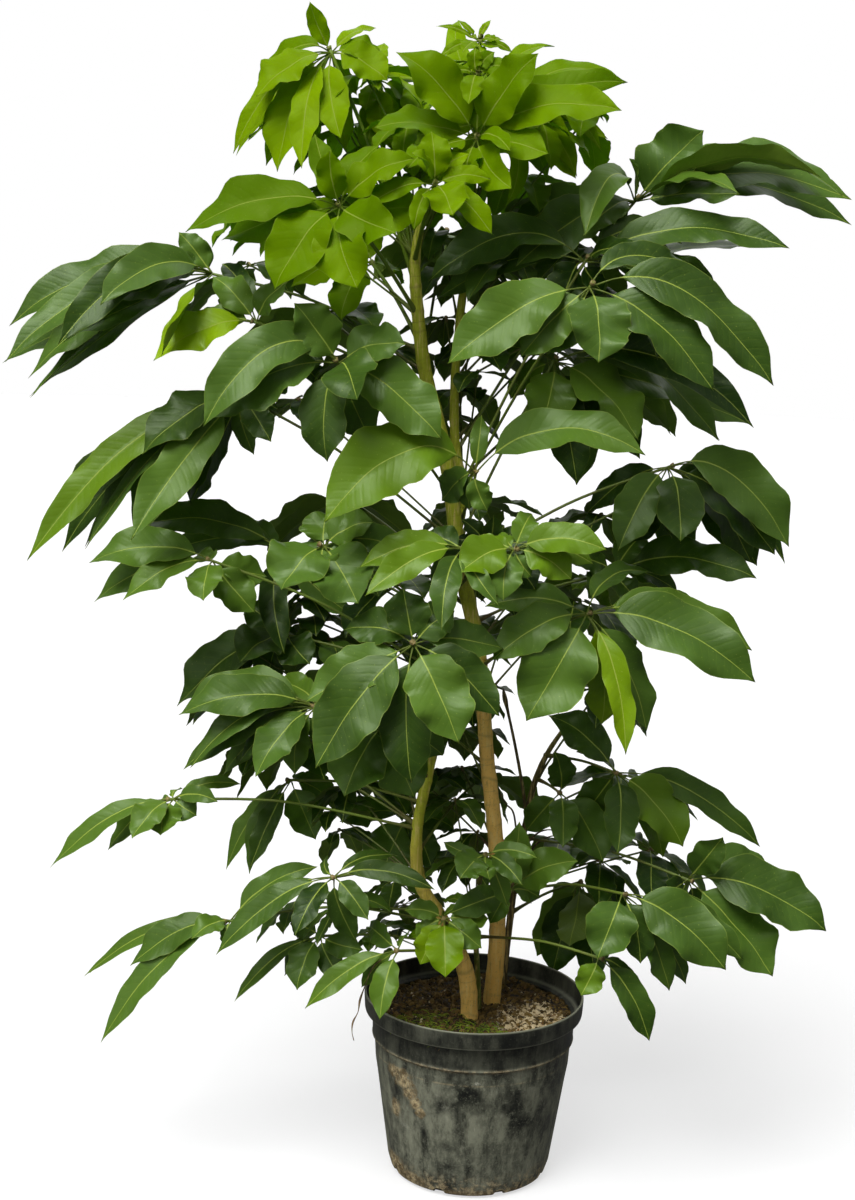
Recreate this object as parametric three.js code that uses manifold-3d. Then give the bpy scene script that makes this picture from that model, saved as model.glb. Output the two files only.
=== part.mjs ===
import * as THREE from "three";
import { mergeVertices } from "three/addons/utils/BufferGeometryUtils.js";
import Module from "manifold-3d";

// An umbrella plant in a black nursery pot.
// Millimetres, +Z up, the front looks along -Y.
// The origin is the centre of the pot's flat base.

const wasm = await Module();
wasm.setup();

// Pot
const POT_HEIGHT = 285;
const POT_BASE_RADIUS = 119;
const POT_WAIST_RADIUS = 152;
const POT_WAIST_HEIGHT = 180;
const POT_COLLAR_RADIUS = 157.5;
const POT_COLLAR_LOW = 226;
const POT_RIM_RADIUS = 170;
const POT_RIM_LOW = 261;
const POT_WALL = 3.5;
const POT_FLOOR = 5;
const POT_FOOT_BEVEL = 9;
const POT_FOOT_HEIGHT = 22;
const POT_FOOT_FLARE = 5.5;
const POT_EDGE = 1.5;
const POT_SIDES = 24;
const DRAIN_COUNT = 8;
const DRAIN_RADIUS = 9;
const DRAIN_REACH = 12;
const DRAIN_INSET = 3;
const DRAIN_DROP = 2;
const DRAIN_SIDES = 6;

// Soil
const SOIL_TOP = 255;
const SOIL_CROWN = 4;
const SOIL_CROWN_RADIUS = 60;
const SOIL_EDGE_DIP = 6;
const SOIL_EDGE_WIDTH = 12;
const STEM_DEPTH = 90;

// Clearance between neighbours that touch on the real plant
const GAP = 0.3;
const STEM_GAP = 0.4;

// Leaf stalks, each ending in a knob just past its leaf's hub
const STALK_RADIUS = 1.9;
const STALK_BASE_RADIUS = 3;
const STALK_BASE_LENGTH = 30;
const STALK_ARCH = 0.05;
const STALK_SIDES = 4;
const KNOB_RADIUS = 7;
const KNOB_BACK = 11;
const KNOB_MIDDLE = 4;
const KNOB_END = 5;
const KNOB_TIP = 8;

// Leaflets
const BLADE_FULLNESS = 1.14;
const BLADE_THICKNESS = 1.6;
const BLADE_FOLD = 0.1;
const BLADE_WAVE = 0.07;
const BLADE_CLEARANCE = 0.5;
const LIFT_LEVEL = 0.26;
const LIFT_HANGING = 0.08;
const LIFT_AT = 0.42;
const HANGING_BULGE = 0.3;
const STALKLET_HALF_WIDTH = 2;
const STALKLET_THICKNESS = 1.8;
const STALKLET_SHARE = 0.15;
const STALKLET_ROOT = 3.5;

// The eye that the plant is described from, 3 m in front of it.
const EYE = new THREE.Vector3(-92, -3000, 1450);
const UP = new THREE.Vector3(0, 0, 1);

// Points closer than this are one point
const MERGE = 1e-4;

// A point is given by where it shows on the upright plane through the pot's centre,
// x to the right and z up, and by its real depth behind that plane.
function seen(x, z, depth) {
  const reach = (depth - EYE.y) / -EYE.y;
  return new THREE.Vector3(x, 0, z).sub(EYE).multiplyScalar(reach).add(EYE);
}

// Solids

function solidOf(geometry) {
  const bare = geometry.clone();
  bare.deleteAttribute("normal");
  bare.deleteAttribute("uv");
  const merged = mergeVertices(bare, MERGE);
  return new wasm.Manifold(new wasm.Mesh({
    numProp: 3,
    vertProperties: new Float32Array(merged.getAttribute("position").array),
    triVerts: new Uint32Array(merged.getIndex().array),
  }));
}

function geometryOf(solid) {
  const mesh = solid.getMesh();
  const geometry = new THREE.BufferGeometry();
  geometry.setAttribute("position", new THREE.BufferAttribute(mesh.vertProperties, 3));
  geometry.setIndex(new THREE.BufferAttribute(mesh.triVerts, 1));
  geometry.computeVertexNormals();
  return geometry;
}

// Rings of points joined in a closed skin, with a flat cap or a point at each end.
// Both faces of a blade are split along the same diagonals, so they never cross.
function loft(rings, point = null, root = null) {
  const sides = rings[0].length;
  const positions = rings.flat().flatMap((p) => [p.x, p.y, p.z]);
  const triangles = [];
  if (root) {
    for (let side = 0; side < sides; side++) {
      triangles.push(side, rings.length * sides, (side + 1) % sides);
    }
    positions.push(root.x, root.y, root.z);
  } else {
    for (let side = 1; side < sides - 1; side++) {
      triangles.push(0, side + 1, side);
    }
  }
  for (let ring = 0; ring < rings.length - 1; ring++) {
    for (let side = 0; side < sides; side++) {
      const a = ring * sides + side;
      const b = ring * sides + (side + 1) % sides;
      const c = a + sides;
      const d = b + sides;
      if (side < sides / 2) {
        triangles.push(a, b, d, a, d, c);
      } else {
        triangles.push(a, b, c, b, d, c);
      }
    }
  }
  const last = (rings.length - 1) * sides;
  if (point) {
    positions.push(point.x, point.y, point.z);
    for (let side = 0; side < sides; side++) {
      triangles.push(last + side, last + (side + 1) % sides, last + sides + (root ? 1 : 0));
    }
  } else {
    for (let side = 1; side < sides - 1; side++) {
      triangles.push(last, last + side, last + side + 1);
    }
  }
  const geometry = new THREE.BufferGeometry();
  geometry.setAttribute("position", new THREE.Float32BufferAttribute(positions, 3));
  geometry.setIndex(triangles);
  return geometry;
}

// A round tube along a curve; each stop gives the place along it and the radius there.
function tube(curve, stops, sides, crown = null) {
  let across = new THREE.Vector3(0, -1, 0);
  const rings = stops.map(({ at, radius }) => {
    const centre = curve.getPointAt(at);
    const along = curve.getTangentAt(at);
    across = across.clone().addScaledVector(along, -across.dot(along)).normalize();
    const other = new THREE.Vector3().crossVectors(along, across);
    return Array.from({ length: sides }, (_, side) => {
      const angle = (2 * Math.PI * side) / sides;
      return centre.clone()
        .addScaledVector(across, radius * Math.cos(angle))
        .addScaledVector(other, radius * Math.sin(angle));
    });
  });
  return loft(rings, crown);
}

function turned(profile, sides) {
  const points = profile.map(([radius, height]) => new THREE.Vector2(radius, height));
  return new THREE.LatheGeometry(points, sides).rotateX(Math.PI / 2);
}

// Clearance: what is placed is kept with its box, and what comes next is tried against it.

function placed(solid, geometry) {
  geometry.computeBoundingBox();
  return { solid, box: geometry.boundingBox };
}

function crosses(trial, others) {
  return others.some((other) => trial.box.intersectsBox(other.box)
    && trial.solid.intersect(other.solid).getMesh().triVerts.length > 0);
}

function asPiece(geometry) {
  return placed(solidOf(geometry), geometry);
}

// Pot

function potSolid() {
  const innerTop = POT_RIM_RADIUS - POT_WALL;
  const innerCollar = POT_COLLAR_RADIUS - POT_WALL;
  const innerWaist = POT_WAIST_RADIUS - POT_WALL;
  const innerBase = POT_BASE_RADIUS - POT_WALL;
  const profile = [
    [0, 0],
    [POT_BASE_RADIUS - POT_FOOT_BEVEL, 0],
    [POT_BASE_RADIUS, POT_FLOOR],
    [POT_BASE_RADIUS + POT_FOOT_FLARE, POT_FOOT_HEIGHT],
    [POT_WAIST_RADIUS, POT_WAIST_HEIGHT],
    [POT_COLLAR_RADIUS - 2 * POT_EDGE, POT_COLLAR_LOW],
    [POT_COLLAR_RADIUS, POT_COLLAR_LOW + POT_EDGE],
    [POT_COLLAR_RADIUS + POT_EDGE, POT_RIM_LOW],
    [POT_RIM_RADIUS - POT_EDGE, POT_RIM_LOW + POT_EDGE / 3],
    [POT_RIM_RADIUS, POT_RIM_LOW + 2 * POT_EDGE],
    [POT_RIM_RADIUS, POT_HEIGHT],
    [innerTop, POT_HEIGHT],
    [innerTop - POT_EDGE / 3, POT_RIM_LOW + POT_WALL],
    [innerCollar, POT_RIM_LOW - POT_WALL],
    [innerWaist, POT_WAIST_HEIGHT],
    [innerBase + POT_FOOT_FLARE, POT_FOOT_HEIGHT],
    [innerBase - POT_EDGE, POT_FLOOR],
    [0, POT_FLOOR],
  ];
  let pot = solidOf(turned(profile, POT_SIDES));
  for (let drain = 0; drain < DRAIN_COUNT; drain++) {
    const angle = (2 * Math.PI * (drain + 0.5)) / DRAIN_COUNT;
    const cutter = new THREE.CylinderGeometry(
      DRAIN_RADIUS, DRAIN_RADIUS, 2 * DRAIN_REACH, DRAIN_SIDES,
    );
    cutter.rotateZ(Math.PI / 2);
    cutter.translate(POT_BASE_RADIUS - DRAIN_INSET, 0, -DRAIN_DROP);
    cutter.rotateZ(angle);
    pot = pot.subtract(solidOf(cutter));
  }
  return pot;
}

function soilSolid() {
  const innerWaist = POT_WAIST_RADIUS - POT_WALL - GAP;
  const innerBase = POT_BASE_RADIUS - POT_WALL - GAP;
  const innerCollar = POT_COLLAR_RADIUS - POT_WALL - GAP;
  return solidOf(turned([
    [0, POT_FLOOR + GAP],
    [innerBase - 2 * POT_EDGE, POT_FLOOR + GAP],
    [innerBase + POT_FOOT_FLARE - GAP, POT_FOOT_HEIGHT],
    [innerWaist, POT_WAIST_HEIGHT],
    [innerCollar - 2 * GAP, SOIL_TOP - SOIL_EDGE_DIP],
    [innerCollar - SOIL_EDGE_WIDTH, SOIL_TOP],
    [SOIL_CROWN_RADIUS, SOIL_TOP + SOIL_CROWN / 4],
    [0, SOIL_TOP + SOIL_CROWN],
  ], POT_SIDES));
}

// Stems: each point is [x, z, depth, radius], from the soil upwards.
const STEMS = {
  a: {
    name: "stem_front",
    sides: 8,
    spans: 17,
    colour: "#a58a4f",
    points: [
      [-6, 244, -36, 13], [-20, 338, -40, 12.5], [-53, 396, -50, 11.5], [-88, 455, -55, 10],
      [-96, 500, -58, 8.5], [-96, 545, -58, 8], [-88, 581, -58, 8], [-80, 645, -60, 7.5],
      [-73, 690, -60, 7.5], [-64, 757, -50, 7.5], [-62, 850, -22, 7.5], [-61, 900, -2, 7.5],
      [-57, 946, 14, 7.5], [-53, 992, 22, 7], [-44, 1069, 30, 7], [-58, 1140, 35, 7],
      [-61, 1230, 40, 6.5], [-55, 1346, 45, 6], [-45, 1462, 45, 5.5], [-44, 1555, 40, 4],
    ],
  },
  b: {
    name: "stem_main",
    sides: 8,
    spans: 16,
    colour: "#9a8448",
    points: [
      [28, 267, 29, 13.5], [32, 340, 28, 13], [34, 378, 26, 12.5], [30, 450, 22, 12],
      [25, 533, 18, 12], [16, 594, 14, 11.5], [7, 655, 10, 11], [-1, 738, 4, 11],
      [-15, 841, -4, 11], [-27, 893, -8, 11], [-44, 946, -12, 11], [-53, 1008, -15, 11],
      [-66, 1092, -16, 10.5], [-81, 1155, -15, 10.5], [-104, 1236, -12, 10],
      [-117, 1278, -12, 9.5], [-119, 1342, -12, 9], [-126, 1380, -12, 8],
      [-122, 1430, -12, 7], [-112, 1490, -12, 5],
    ],
  },
  c: {
    name: "stem_side",
    sides: 6,
    spans: 9,
    colour: "#4c4a24",
    points: [
      [44, 297, 110, 6], [53, 421, 112, 5.5], [63, 526, 110, 5], [72, 570, 108, 5],
      [78, 612, 106, 5], [90, 650, 100, 4.5], [102, 676, 96, 4], [132, 723, 90, 3],
    ],
  },
  d: {
    name: "shoot",
    sides: 6,
    spans: 6,
    colour: "#6f7c2c",
    points: [
      [8, 257, 0, 4.5], [5, 310, -5, 4.2], [-2, 390, -25, 4], [0, 440, -55, 3.6],
      [6, 482, -85, 2.6],
    ],
  },
};

function growStem(stem) {
  const knots = stem.points.map(([x, z, depth]) => seen(x, z, depth));
  const foot = knots[0].clone().setZ(SOIL_TOP - STEM_DEPTH);
  stem.curve = new THREE.CatmullRomCurve3([foot, ...knots], false, "centripetal");
  const radii = [stem.points[0][3], ...stem.points.map((point) => point[3])];
  stem.radiusAt = (at) => {
    const t = stem.curve.getUtoTmapping(at) * (radii.length - 1);
    const low = Math.min(Math.floor(t), radii.length - 2);
    return THREE.MathUtils.lerp(radii[low], radii[low + 1], t - low);
  };
  const skin = (extra) => {
    const stops = Array.from({ length: stem.spans + 1 }, (_, step) => {
      const at = step / stem.spans;
      return { at, radius: stem.radiusAt(at) + extra };
    });
    return tube(stem.curve, stops, stem.sides);
  };
  stem.piece = asPiece(skin(0));
  stem.sleeve = asPiece(skin(STEM_GAP));
}

// The point of a stem's centre line at a height, found by halving.
const HALVINGS = 24;

function stemPlace(stem, height) {
  let low = 0;
  let high = 1;
  for (let step = 0; step < HALVINGS; step++) {
    const middle = (low + high) / 2;
    if (stem.curve.getPointAt(middle).z < height) {
      low = middle;
    } else {
      high = middle;
    }
  }
  return stem.curve.getPointAt(low);
}

// Leaves: each has its stem, the height where its stalk leaves it, its hub [x, z, depth],
// and its leaflets' tips [x, z, depth behind the hub, width].
const LEAVES = {
  leaf_top_1: ["b", 1366, [-253, 1690, 10], [
    [-286, 1762, -20, 24], [-360, 1627, -60, 50], [-328, 1522, -60, 58], [-388, 1543, 20, 34],
    [-293, 1528, -110, 36], [-237, 1572, -90, 44], [-172, 1655, -30, 50], [-270, 1602, 60, 34],
    [-190, 1728, 60, 20],
  ]],
  leaf_top_2: ["a", 1545, [-44, 1712, -10], [
    [-105, 1733, 0, 8], [-75, 1743, 10, 8], [-99, 1690, -20, 14], [5, 1700, -10, 10],
    [-18, 1716, -30, 12], [-66, 1698, -40, 18],
  ]],
  leaf_top_3: ["a", 1440, [-41, 1578, -80], [
    [-161, 1696, -20, 62], [43, 1700, -40, 56], [166, 1624, -60, 58], [173, 1664, 20, 44],
    [63, 1560, -60, 48], [8, 1562, -90, 26],
  ]],
  leaf_top_4: ["b", 1442, [-20, 1605, 40], [
    [104, 1526, -40, 44], [148, 1583, 20, 36], [87, 1540, 40, 40], [78, 1622, -50, 30],
  ]],
  leaf_top_5: ["b", 1400, [-100, 1510, -150], [
    [-72, 1468, -60, 52], [-107, 1586, 10, 40], [-199, 1476, -10, 26], [-19, 1521, 0, 26],
    [-14, 1443, -30, 34], [-131, 1552, -40, 28],
  ]],
  leaf_top_6: ["b", 1322, [-236, 1475, -130], [
    [-329, 1353, -50, 74], [-460, 1432, 0, 62], [-408, 1422, 40, 58], [-131, 1547, -30, 50],
    [-252, 1556, -20, 36], [-275, 1578, 30, 30], [-290, 1430, 70, 46],
  ]],
  leaf_top_7: ["b", 1384, [-183, 1655, 60], [
    [-203, 1612, -40, 26], [-175, 1573, -50, 36], [-146, 1549, 0, 36], [-217, 1640, 40, 20],
    [-120, 1600, 40, 36], [-90, 1640, 20, 34],
  ]],
  leaf_top_8: ["a", 1490, [-45, 1668, -60], [
    [-101, 1663, -20, 14], [-107, 1632, -10, 12], [5, 1680, 0, 24], [-55, 1625, -30, 26],
    [-12, 1645, -20, 26],
  ]],
  leaf_top_9: ["b", 1290, [-187, 1395, 30], [
    [-305, 1358, -20, 56], [-240, 1335, 20, 38], [-140, 1368, 60, 40], [-205, 1445, 40, 46],
  ]],
  leaf_right_1: ["a", 1120, [191, 1495, 30], [
    [505, 1508, 0, 62], [22, 1398, -60, 66], [285, 1600, -30, 78], [507, 1472, 60, 50],
    [343, 1511, -80, 44], [182, 1555, -70, 30], [118, 1445, -90, 38], [130, 1450, 20, 44],
    [2, 1440, 50, 56],
  ]],
  leaf_right_2: ["b", 1045, [122, 1408, -40], [
    [419, 1436, -40, 56], [-105, 1372, 30, 60], [322, 1352, 20, 74], [262, 1438, 50, 34],
    [195, 1425, -70, 38], [-95, 1345, 80, 50],
  ]],
  leaf_right_3: ["a", 1062, [132, 1368, -170], [
    [-73, 1253, -40, 70], [149, 1262, -70, 76], [320, 1226, -40, 68], [408, 1236, -10, 66],
    [34, 1267, -50, 56], [74, 1272, 0, 46],
  ]],
  leaf_right_4: ["b", 985, [84, 1260, 80], [
    [213, 1150, -60, 80], [332, 1152, -20, 60], [-48, 1270, 20, 50], [378, 1178, 40, 56],
    [66, 1155, -40, 66], [124, 1080, 40, 60],
  ]],
  leaf_right_5: ["b", 956, [258, 1109, 60], [
    [425, 985, -20, 74], [193, 988, -50, 62], [283, 1000, -60, 64], [390, 972, 20, 66],
    [340, 1030, 80, 50],
  ]],
  leaf_right_6: ["b", 868, [186, 950, 60], [
    [400, 948, -30, 62], [112, 966, -20, 46], [283, 922, 50, 40], [230, 1010, 70, 46],
  ]],
  leaf_right_7: ["b", 800, [148, 884, -140], [
    [407, 789, -40, 78], [64, 718, -60, 88], [217, 670, -70, 34], [8, 810, -30, 54],
    [400, 838, 40, 56], [247, 709, 10, 48], [178, 716, 40, 56], [-5, 892, 50, 40],
  ]],
  leaf_right_8: ["c", 640, [203, 640, 20], [
    [312, 528, -30, 64], [212, 514, -50, 48], [430, 532, 30, 42], [97, 728, 30, 54],
    [282, 510, 30, 46], [150, 560, 60, 48],
  ]],
  leaf_right_9: ["c", 600, [120, 606, 60], [
    [190, 500, -50, 58], [108, 672, -20, 38], [128, 520, -60, 40], [70, 545, 30, 40],
  ]],
  leaf_right_10: ["c", 500, [322, 475, -50], [
    [540, 400, -20, 78], [461, 324, -40, 82], [448, 489, 50, 58], [372, 545, -40, 42],
    [320, 385, 50, 50],
  ]],
  leaf_right_11: ["c", 410, [222, 448, -130], [
    [389, 332, -40, 72], [189, 344, -60, 62], [414, 349, 30, 48], [303, 295, 10, 40],
    [256, 338, -20, 42], [328, 307, 60, 36],
  ]],
  leaf_right_12: ["d", 380, [190, 345, -150], [
    [166, 283, -20, 36], [276, 212, -10, 40], [250, 305, 20, 18],
  ]],
  leaf_right_13: ["c", 375, [155, 465, 190], [
    [95, 345, 0, 60], [165, 335, -10, 60], [215, 400, 30, 48], [120, 400, 80, 48],
  ]],
  leaf_centre_1: ["a", 1010, [-27, 1095, -150], [
    [-249, 1012, -80, 86, 2.2], [225, 1128, -60, 54, 1.6], [-20, 1180, 30, 22], [-75, 1050, 40, 40],
  ]],
  leaf_centre_2: ["a", 905, [36, 979, -190], [
    [174, 984, -30, 42], [-45, 942, -50, 52], [155, 962, 30, 34], [123, 938, -10, 48],
    [60, 1035, 60, 30],
  ]],
  leaf_centre_3: ["a", 892, [-41, 978, -200], [
    [-185, 903, -60, 38], [-195, 946, -10, 38], [-95, 1003, 20, 34],
  ]],
  leaf_centre_4: ["b", 930, [-3, 980, -90], [
    [70, 920, -40, 54], [-45, 1023, 0, 24], [3, 1031, -20, 26], [20, 1016, 30, 20],
    [-70, 905, 0, 52], [40, 880, 20, 46],
  ]],
  leaf_centre_5: ["a", 745, [-110, 830, -230], [
    [-254, 634, -60, 76], [-37, 680, -70, 74], [-271, 737, -20, 60], [23, 724, -30, 54],
    [-128, 915, 30, 54], [-50, 885, 20, 48], [-215, 850, 40, 46],
  ]],
  leaf_centre_6: ["a", 640, [-152, 703, -190], [
    [-209, 591, -60, 72], [-102, 593, -60, 68], [-110, 750, 10, 46], [-225, 715, 30, 46],
    [-160, 775, 60, 40], [-60, 660, 20, 46],
  ]],
  leaf_centre_7: ["a", 862, [-249, 975, -150], [
    [-311, 908, -60, 80], [-195, 890, -70, 76], [-115, 968, -10, 42], [-245, 1025, 40, 56],
    [-175, 1015, 20, 46],
  ]],
  leaf_left_1: ["b", 1272, [-420, 1372, 40], [
    [-690, 1213, -10, 52], [-728, 1234, 50, 68], [-588, 1316, -60, 68], [-641, 1265, -90, 52],
    [-688, 1186, 90, 42], [-470, 1432, 10, 34],
  ]],
  leaf_left_2: ["b", 1200, [-355, 1304, -60], [
    [-505, 1244, -50, 62], [-455, 1285, 10, 40], [-310, 1365, -30, 40], [-420, 1370, 40, 40],
  ]],
  leaf_left_3: ["a", 1032, [-232, 1248, -140], [
    [-430, 1158, -40, 76], [-204, 1196, -120, 66], [-246, 1103, -20, 58], [-370, 1200, 40, 62],
    [-135, 1280, -30, 56], [-300, 1335, -20, 56], [-183, 1137, 30, 54], [-78, 1142, -20, 70],
  ]],
  leaf_left_4: ["a", 985, [-375, 1195, 40], [
    [-692, 941, -20, 54], [-532, 975, -40, 76], [-521, 1105, -80, 66], [-606, 963, 30, 42],
    [-450, 1032, 30, 48], [-355, 1110, 20, 26], [-330, 1130, -40, 38],
  ]],
  leaf_left_5: ["a", 875, [-308, 967, 90], [
    [-530, 998, -20, 54], [-439, 1023, 20, 30], [-500, 950, 40, 46], [-380, 1010, 70, 36],
  ]],
  leaf_left_6: ["a", 792, [-415, 948, -40], [
    [-600, 940, -10, 56], [-549, 884, -50, 40], [-592, 880, 30, 46], [-428, 888, -60, 46],
    [-350, 872, -10, 48],
  ]],
  leaf_left_7: ["a", 770, [-300, 838, 60], [
    [-466, 723, -30, 72], [-372, 795, -70, 66], [-365, 885, 30, 52], [-330, 750, 20, 50],
    [-230, 800, 40, 48],
  ]],
  leaf_left_8: ["a", 690, [-255, 728, -80], [
    [-463, 710, -20, 58], [-345, 617, -70, 50], [-455, 625, 10, 46], [-370, 640, -30, 42],
    [-285, 622, 0, 40], [-395, 617, 60, 40],
  ]],
  leaf_left_9: ["a", 560, [-470, 577, -60], [
    [-658, 463, -10, 32], [-489, 520, -40, 50], [-533, 513, -60, 40], [-570, 493, 30, 34],
    [-367, 605, 20, 20], [-402, 576, -40, 24],
  ]],
  leaf_left_10: ["a", 600, [-290, 612, 110], [
    [-388, 468, 10, 30], [-352, 462, -30, 32], [-251, 521, -30, 48], [-225, 580, 20, 46],
    [-330, 520, 50, 30],
  ]],
  leaf_left_11: ["a", 430, [-380, 385, -60], [
    [-535, 308, 0, 44], [-580, 180, -30, 36], [-607, 288, 40, 22], [-247, 478, -10, 34],
    [-440, 355, -50, 32],
  ]],
  leaf_left_12: ["a", 490, [-221, 461, -110], [
    [-402, 330, -20, 36], [-66, 447, -40, 26], [-280, 365, -70, 34], [-167, 395, -40, 30],
    [-185, 360, 20, 32],
  ]],
  leaf_left_13: ["a", 372, [-240, 365, -60], [
    [-275, 277, -40, 42], [-372, 255, 0, 22], [-295, 300, 30, 30],
  ]],
  leaf_low_1: ["a", 350, [-120, 345, -130], [
    [-145, 233, -60, 34], [-262, 247, -20, 30], [-175, 285, 20, 22],
  ]],
  leaf_low_2: ["a", 400, [-50, 400, -110], [
    [-45, 305, -60, 48], [-85, 325, -20, 36], [-112, 412, 0, 26],
  ]],
  leaf_low_3: ["d", 482, [10, 505, -130], [
    [-28, 466, -40, 42], [89, 503, -20, 22], [68, 459, -50, 26], [46, 425, 10, 24],
  ]],
  leaf_low_4: ["b", 415, [48, 448, -60], [
    [152, 500, -40, 50], [95, 440, 30, 34], [20, 395, -20, 28], [60, 560, 10, 40],
  ]],
  leaf_low_5: ["a", 590, [-110, 560, 100], [
    [-150, 455, -20, 72], [-70, 478, -20, 40], [-145, 610, 30, 40], [-215, 550, 30, 46],
    [-40, 545, 20, 44],
  ]],
};

// Leaves on the far side, turned round the plant: [stem, height, turn, reach, rise, length].
const BACK_LEAVES = [
  ["a", 520, 24, 250, 60, 160],
  ["b", 640, -44, 300, 90, 180],
  ["a", 800, 46, 320, 110, 200],
  ["b", 880, -36, 340, 130, 200],
  ["a", 1080, 40, 330, 140, 200],
  ["b", 1150, -38, 320, 160, 190],
  ["b", 1250, 6, 270, 190, 180],
];
const BACK_LEAFLETS = 6;
const BACK_SPREAD = 1.7 * Math.PI;
const BACK_OUT = 0.8;
const BACK_DROOP = 0.5;
const BACK_WIDTH = 0.36;

function backLeaf([stemKey, height, turn, reach, rise, length]) {
  const root = stemPlace(STEMS[stemKey], height);
  const angle = THREE.MathUtils.degToRad(turn);
  const outward = new THREE.Vector3(Math.sin(angle), Math.cos(angle), 0);
  const hub = root.clone().addScaledVector(outward, reach).addScaledVector(UP, rise);
  const tips = Array.from({ length: BACK_LEAFLETS }, (_, leaflet) => {
    const spread = ((leaflet + 0.5) / BACK_LEAFLETS - 0.5) * BACK_SPREAD;
    const way = outward.clone().applyAxisAngle(UP, spread);
    const size = length * (0.8 + 0.2 * Math.cos(spread));
    const tip = hub.clone()
      .addScaledVector(way, BACK_OUT * size)
      .addScaledVector(UP, -BACK_DROOP * size);
    return { tip, width: BACK_WIDTH * size, arch: 1 };
  });
  return { stem: STEMS[stemKey], height, hub, tips };
}

function frontLeaf([stemKey, height, [x, z, depth], rows]) {
  const tips = rows.map(([tipX, tipZ, behind, width, arch = 1]) => (
    { tip: seen(tipX, tipZ, depth + behind), width: BLADE_FULLNESS * width, arch }
  ));
  return { stem: STEMS[stemKey], height, hub: seen(x, z, depth), tips };
}

// A leaf stalk rises from its stem in a slight arch and ends in a knob.
function stalkGeometry(leaf, sideways, upwards, extra) {
  const root = stemPlace(leaf.stem, leaf.height + upwards);
  const way = leaf.hub.clone().sub(root);
  const length = way.length();
  const side = new THREE.Vector3().crossVectors(way, UP).normalize();
  const curve = new THREE.CubicBezierCurve3(
    root,
    root.clone().addScaledVector(way, 0.33).addScaledVector(UP, STALK_ARCH * length)
      .addScaledVector(side, sideways),
    root.clone().addScaledVector(way, 0.72).addScaledVector(UP, 1.6 * STALK_ARCH * length)
      .addScaledVector(side, sideways * 0.6),
    leaf.hub.clone().addScaledVector(way, KNOB_END / length),
  );
  const crown = leaf.hub.clone().addScaledVector(way, KNOB_TIP / length);
  const stops = [
    { at: 0, radius: STALK_BASE_RADIUS },
    { at: Math.min(0.2, STALK_BASE_LENGTH / length), radius: STALK_RADIUS + GAP },
    { at: 0.55, radius: STALK_RADIUS },
    { at: 1 - KNOB_BACK / length, radius: STALK_RADIUS },
    { at: 1 - KNOB_MIDDLE / length, radius: KNOB_RADIUS },
  ].map(({ at, radius }) => ({ at, radius: radius + extra }));
  return tube(curve, stops, STALK_SIDES, crown);
}

// Leaflet: its stalk leaves the knob, then the blade widens, arches over and comes to a point.
const STATIONS = [
  { at: 0.33, wide: 0.86, wave: 1 },
  { at: 0.58, wide: 1, wave: -1 },
  { at: 0.83, wide: 0.64, wave: 1 },
];

// Blades turn their upper faces up and to the light: the front, or the back on the far side.
const FAR_SIDE = 150;
const FACING_FRONT = new THREE.Vector3(0, -0.9, 0.8);
const FACING_BACK = new THREE.Vector3(0, 0.5, 0.8);
const FACING_OUT = 0.3;

function leafletGeometry(leaf, tip, width, lift, extra, bladeOnly) {
  const chord = tip.clone().sub(leaf.hub);
  const length = chord.length();
  const level = Math.hypot(chord.x, chord.y) / length;
  const outward = leaf.hub.clone().sub(stemPlace(leaf.stem, leaf.height)).setZ(0).normalize();
  const rise = length * lift * THREE.MathUtils.lerp(LIFT_HANGING, LIFT_LEVEL, level);
  const control = leaf.hub.clone().addScaledVector(chord, LIFT_AT)
    .addScaledVector(UP, rise)
    .addScaledVector(outward, HANGING_BULGE * (1 - level) * length);
  const midrib = new THREE.QuadraticBezierCurve3(leaf.hub, control, tip);
  const turned = leaf.hub.y > FAR_SIDE ? FACING_BACK : FACING_FRONT;
  const facing = turned.clone().addScaledVector(outward, FACING_OUT);
  const section = (at, half, thick, raised) => {
    const centre = midrib.getPointAt(at);
    const along = midrib.getTangentAt(at);
    const across = new THREE.Vector3().crossVectors(along, facing).normalize();
    const normal = new THREE.Vector3().crossVectors(across, along);
    const reach = half + extra;
    const deep = thick / 2 + extra;
    return [
      centre.clone().addScaledVector(across, -reach).addScaledVector(normal, raised[0]),
      centre.clone().addScaledVector(normal, deep),
      centre.clone().addScaledVector(across, reach).addScaledVector(normal, raised[1]),
      centre.clone().addScaledVector(normal, -deep),
    ];
  };
  const base = THREE.MathUtils.clamp(STALKLET_SHARE, (KNOB_RADIUS + 6) / length, 2 * STALKLET_SHARE);
  const rings = STATIONS.map(({ at, wide, wave }) => {
    const half = (width / 2) * wide;
    const fold = BLADE_FOLD * half * 2;
    const sway = BLADE_WAVE * width * wave;
    return section(at, half, BLADE_THICKNESS, [fold + sway, fold - sway]);
  });
  rings.unshift(section(base, STALKLET_HALF_WIDTH, STALKLET_THICKNESS, [0, 0]));
  const point = tip.clone().addScaledVector(midrib.getTangentAt(1), extra);
  if (bladeOnly) {
    return loft(rings, point);
  }
  const root = leaf.hub.clone().addScaledVector(midrib.getTangentAt(0), -STALKLET_ROOT);
  return loft(rings, point, root);
}

// Bends that are tried in turn, each [depth, sideways, lift], until a leaflet is clear of the rest.
const BEND_DEPTHS = [0, -30, 30, -65, 65, -105, 105, -150, 150];
const BEND_ASIDES = [0, 12, -12, 26, -26, 44, -44];
const BEND_LIFTS = [1, 0.3, 1.8];
const ASIDE_COST = 4;
const LIFT_COST = 25;

function bends() {
  const list = [];
  for (const aside of BEND_ASIDES) {
    for (const depth of BEND_DEPTHS) {
      for (const lift of BEND_LIFTS) {
        list.push([depth, aside, lift]);
      }
    }
  }
  return list.sort((a, b) => bendCost(a) - bendCost(b));
}

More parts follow.
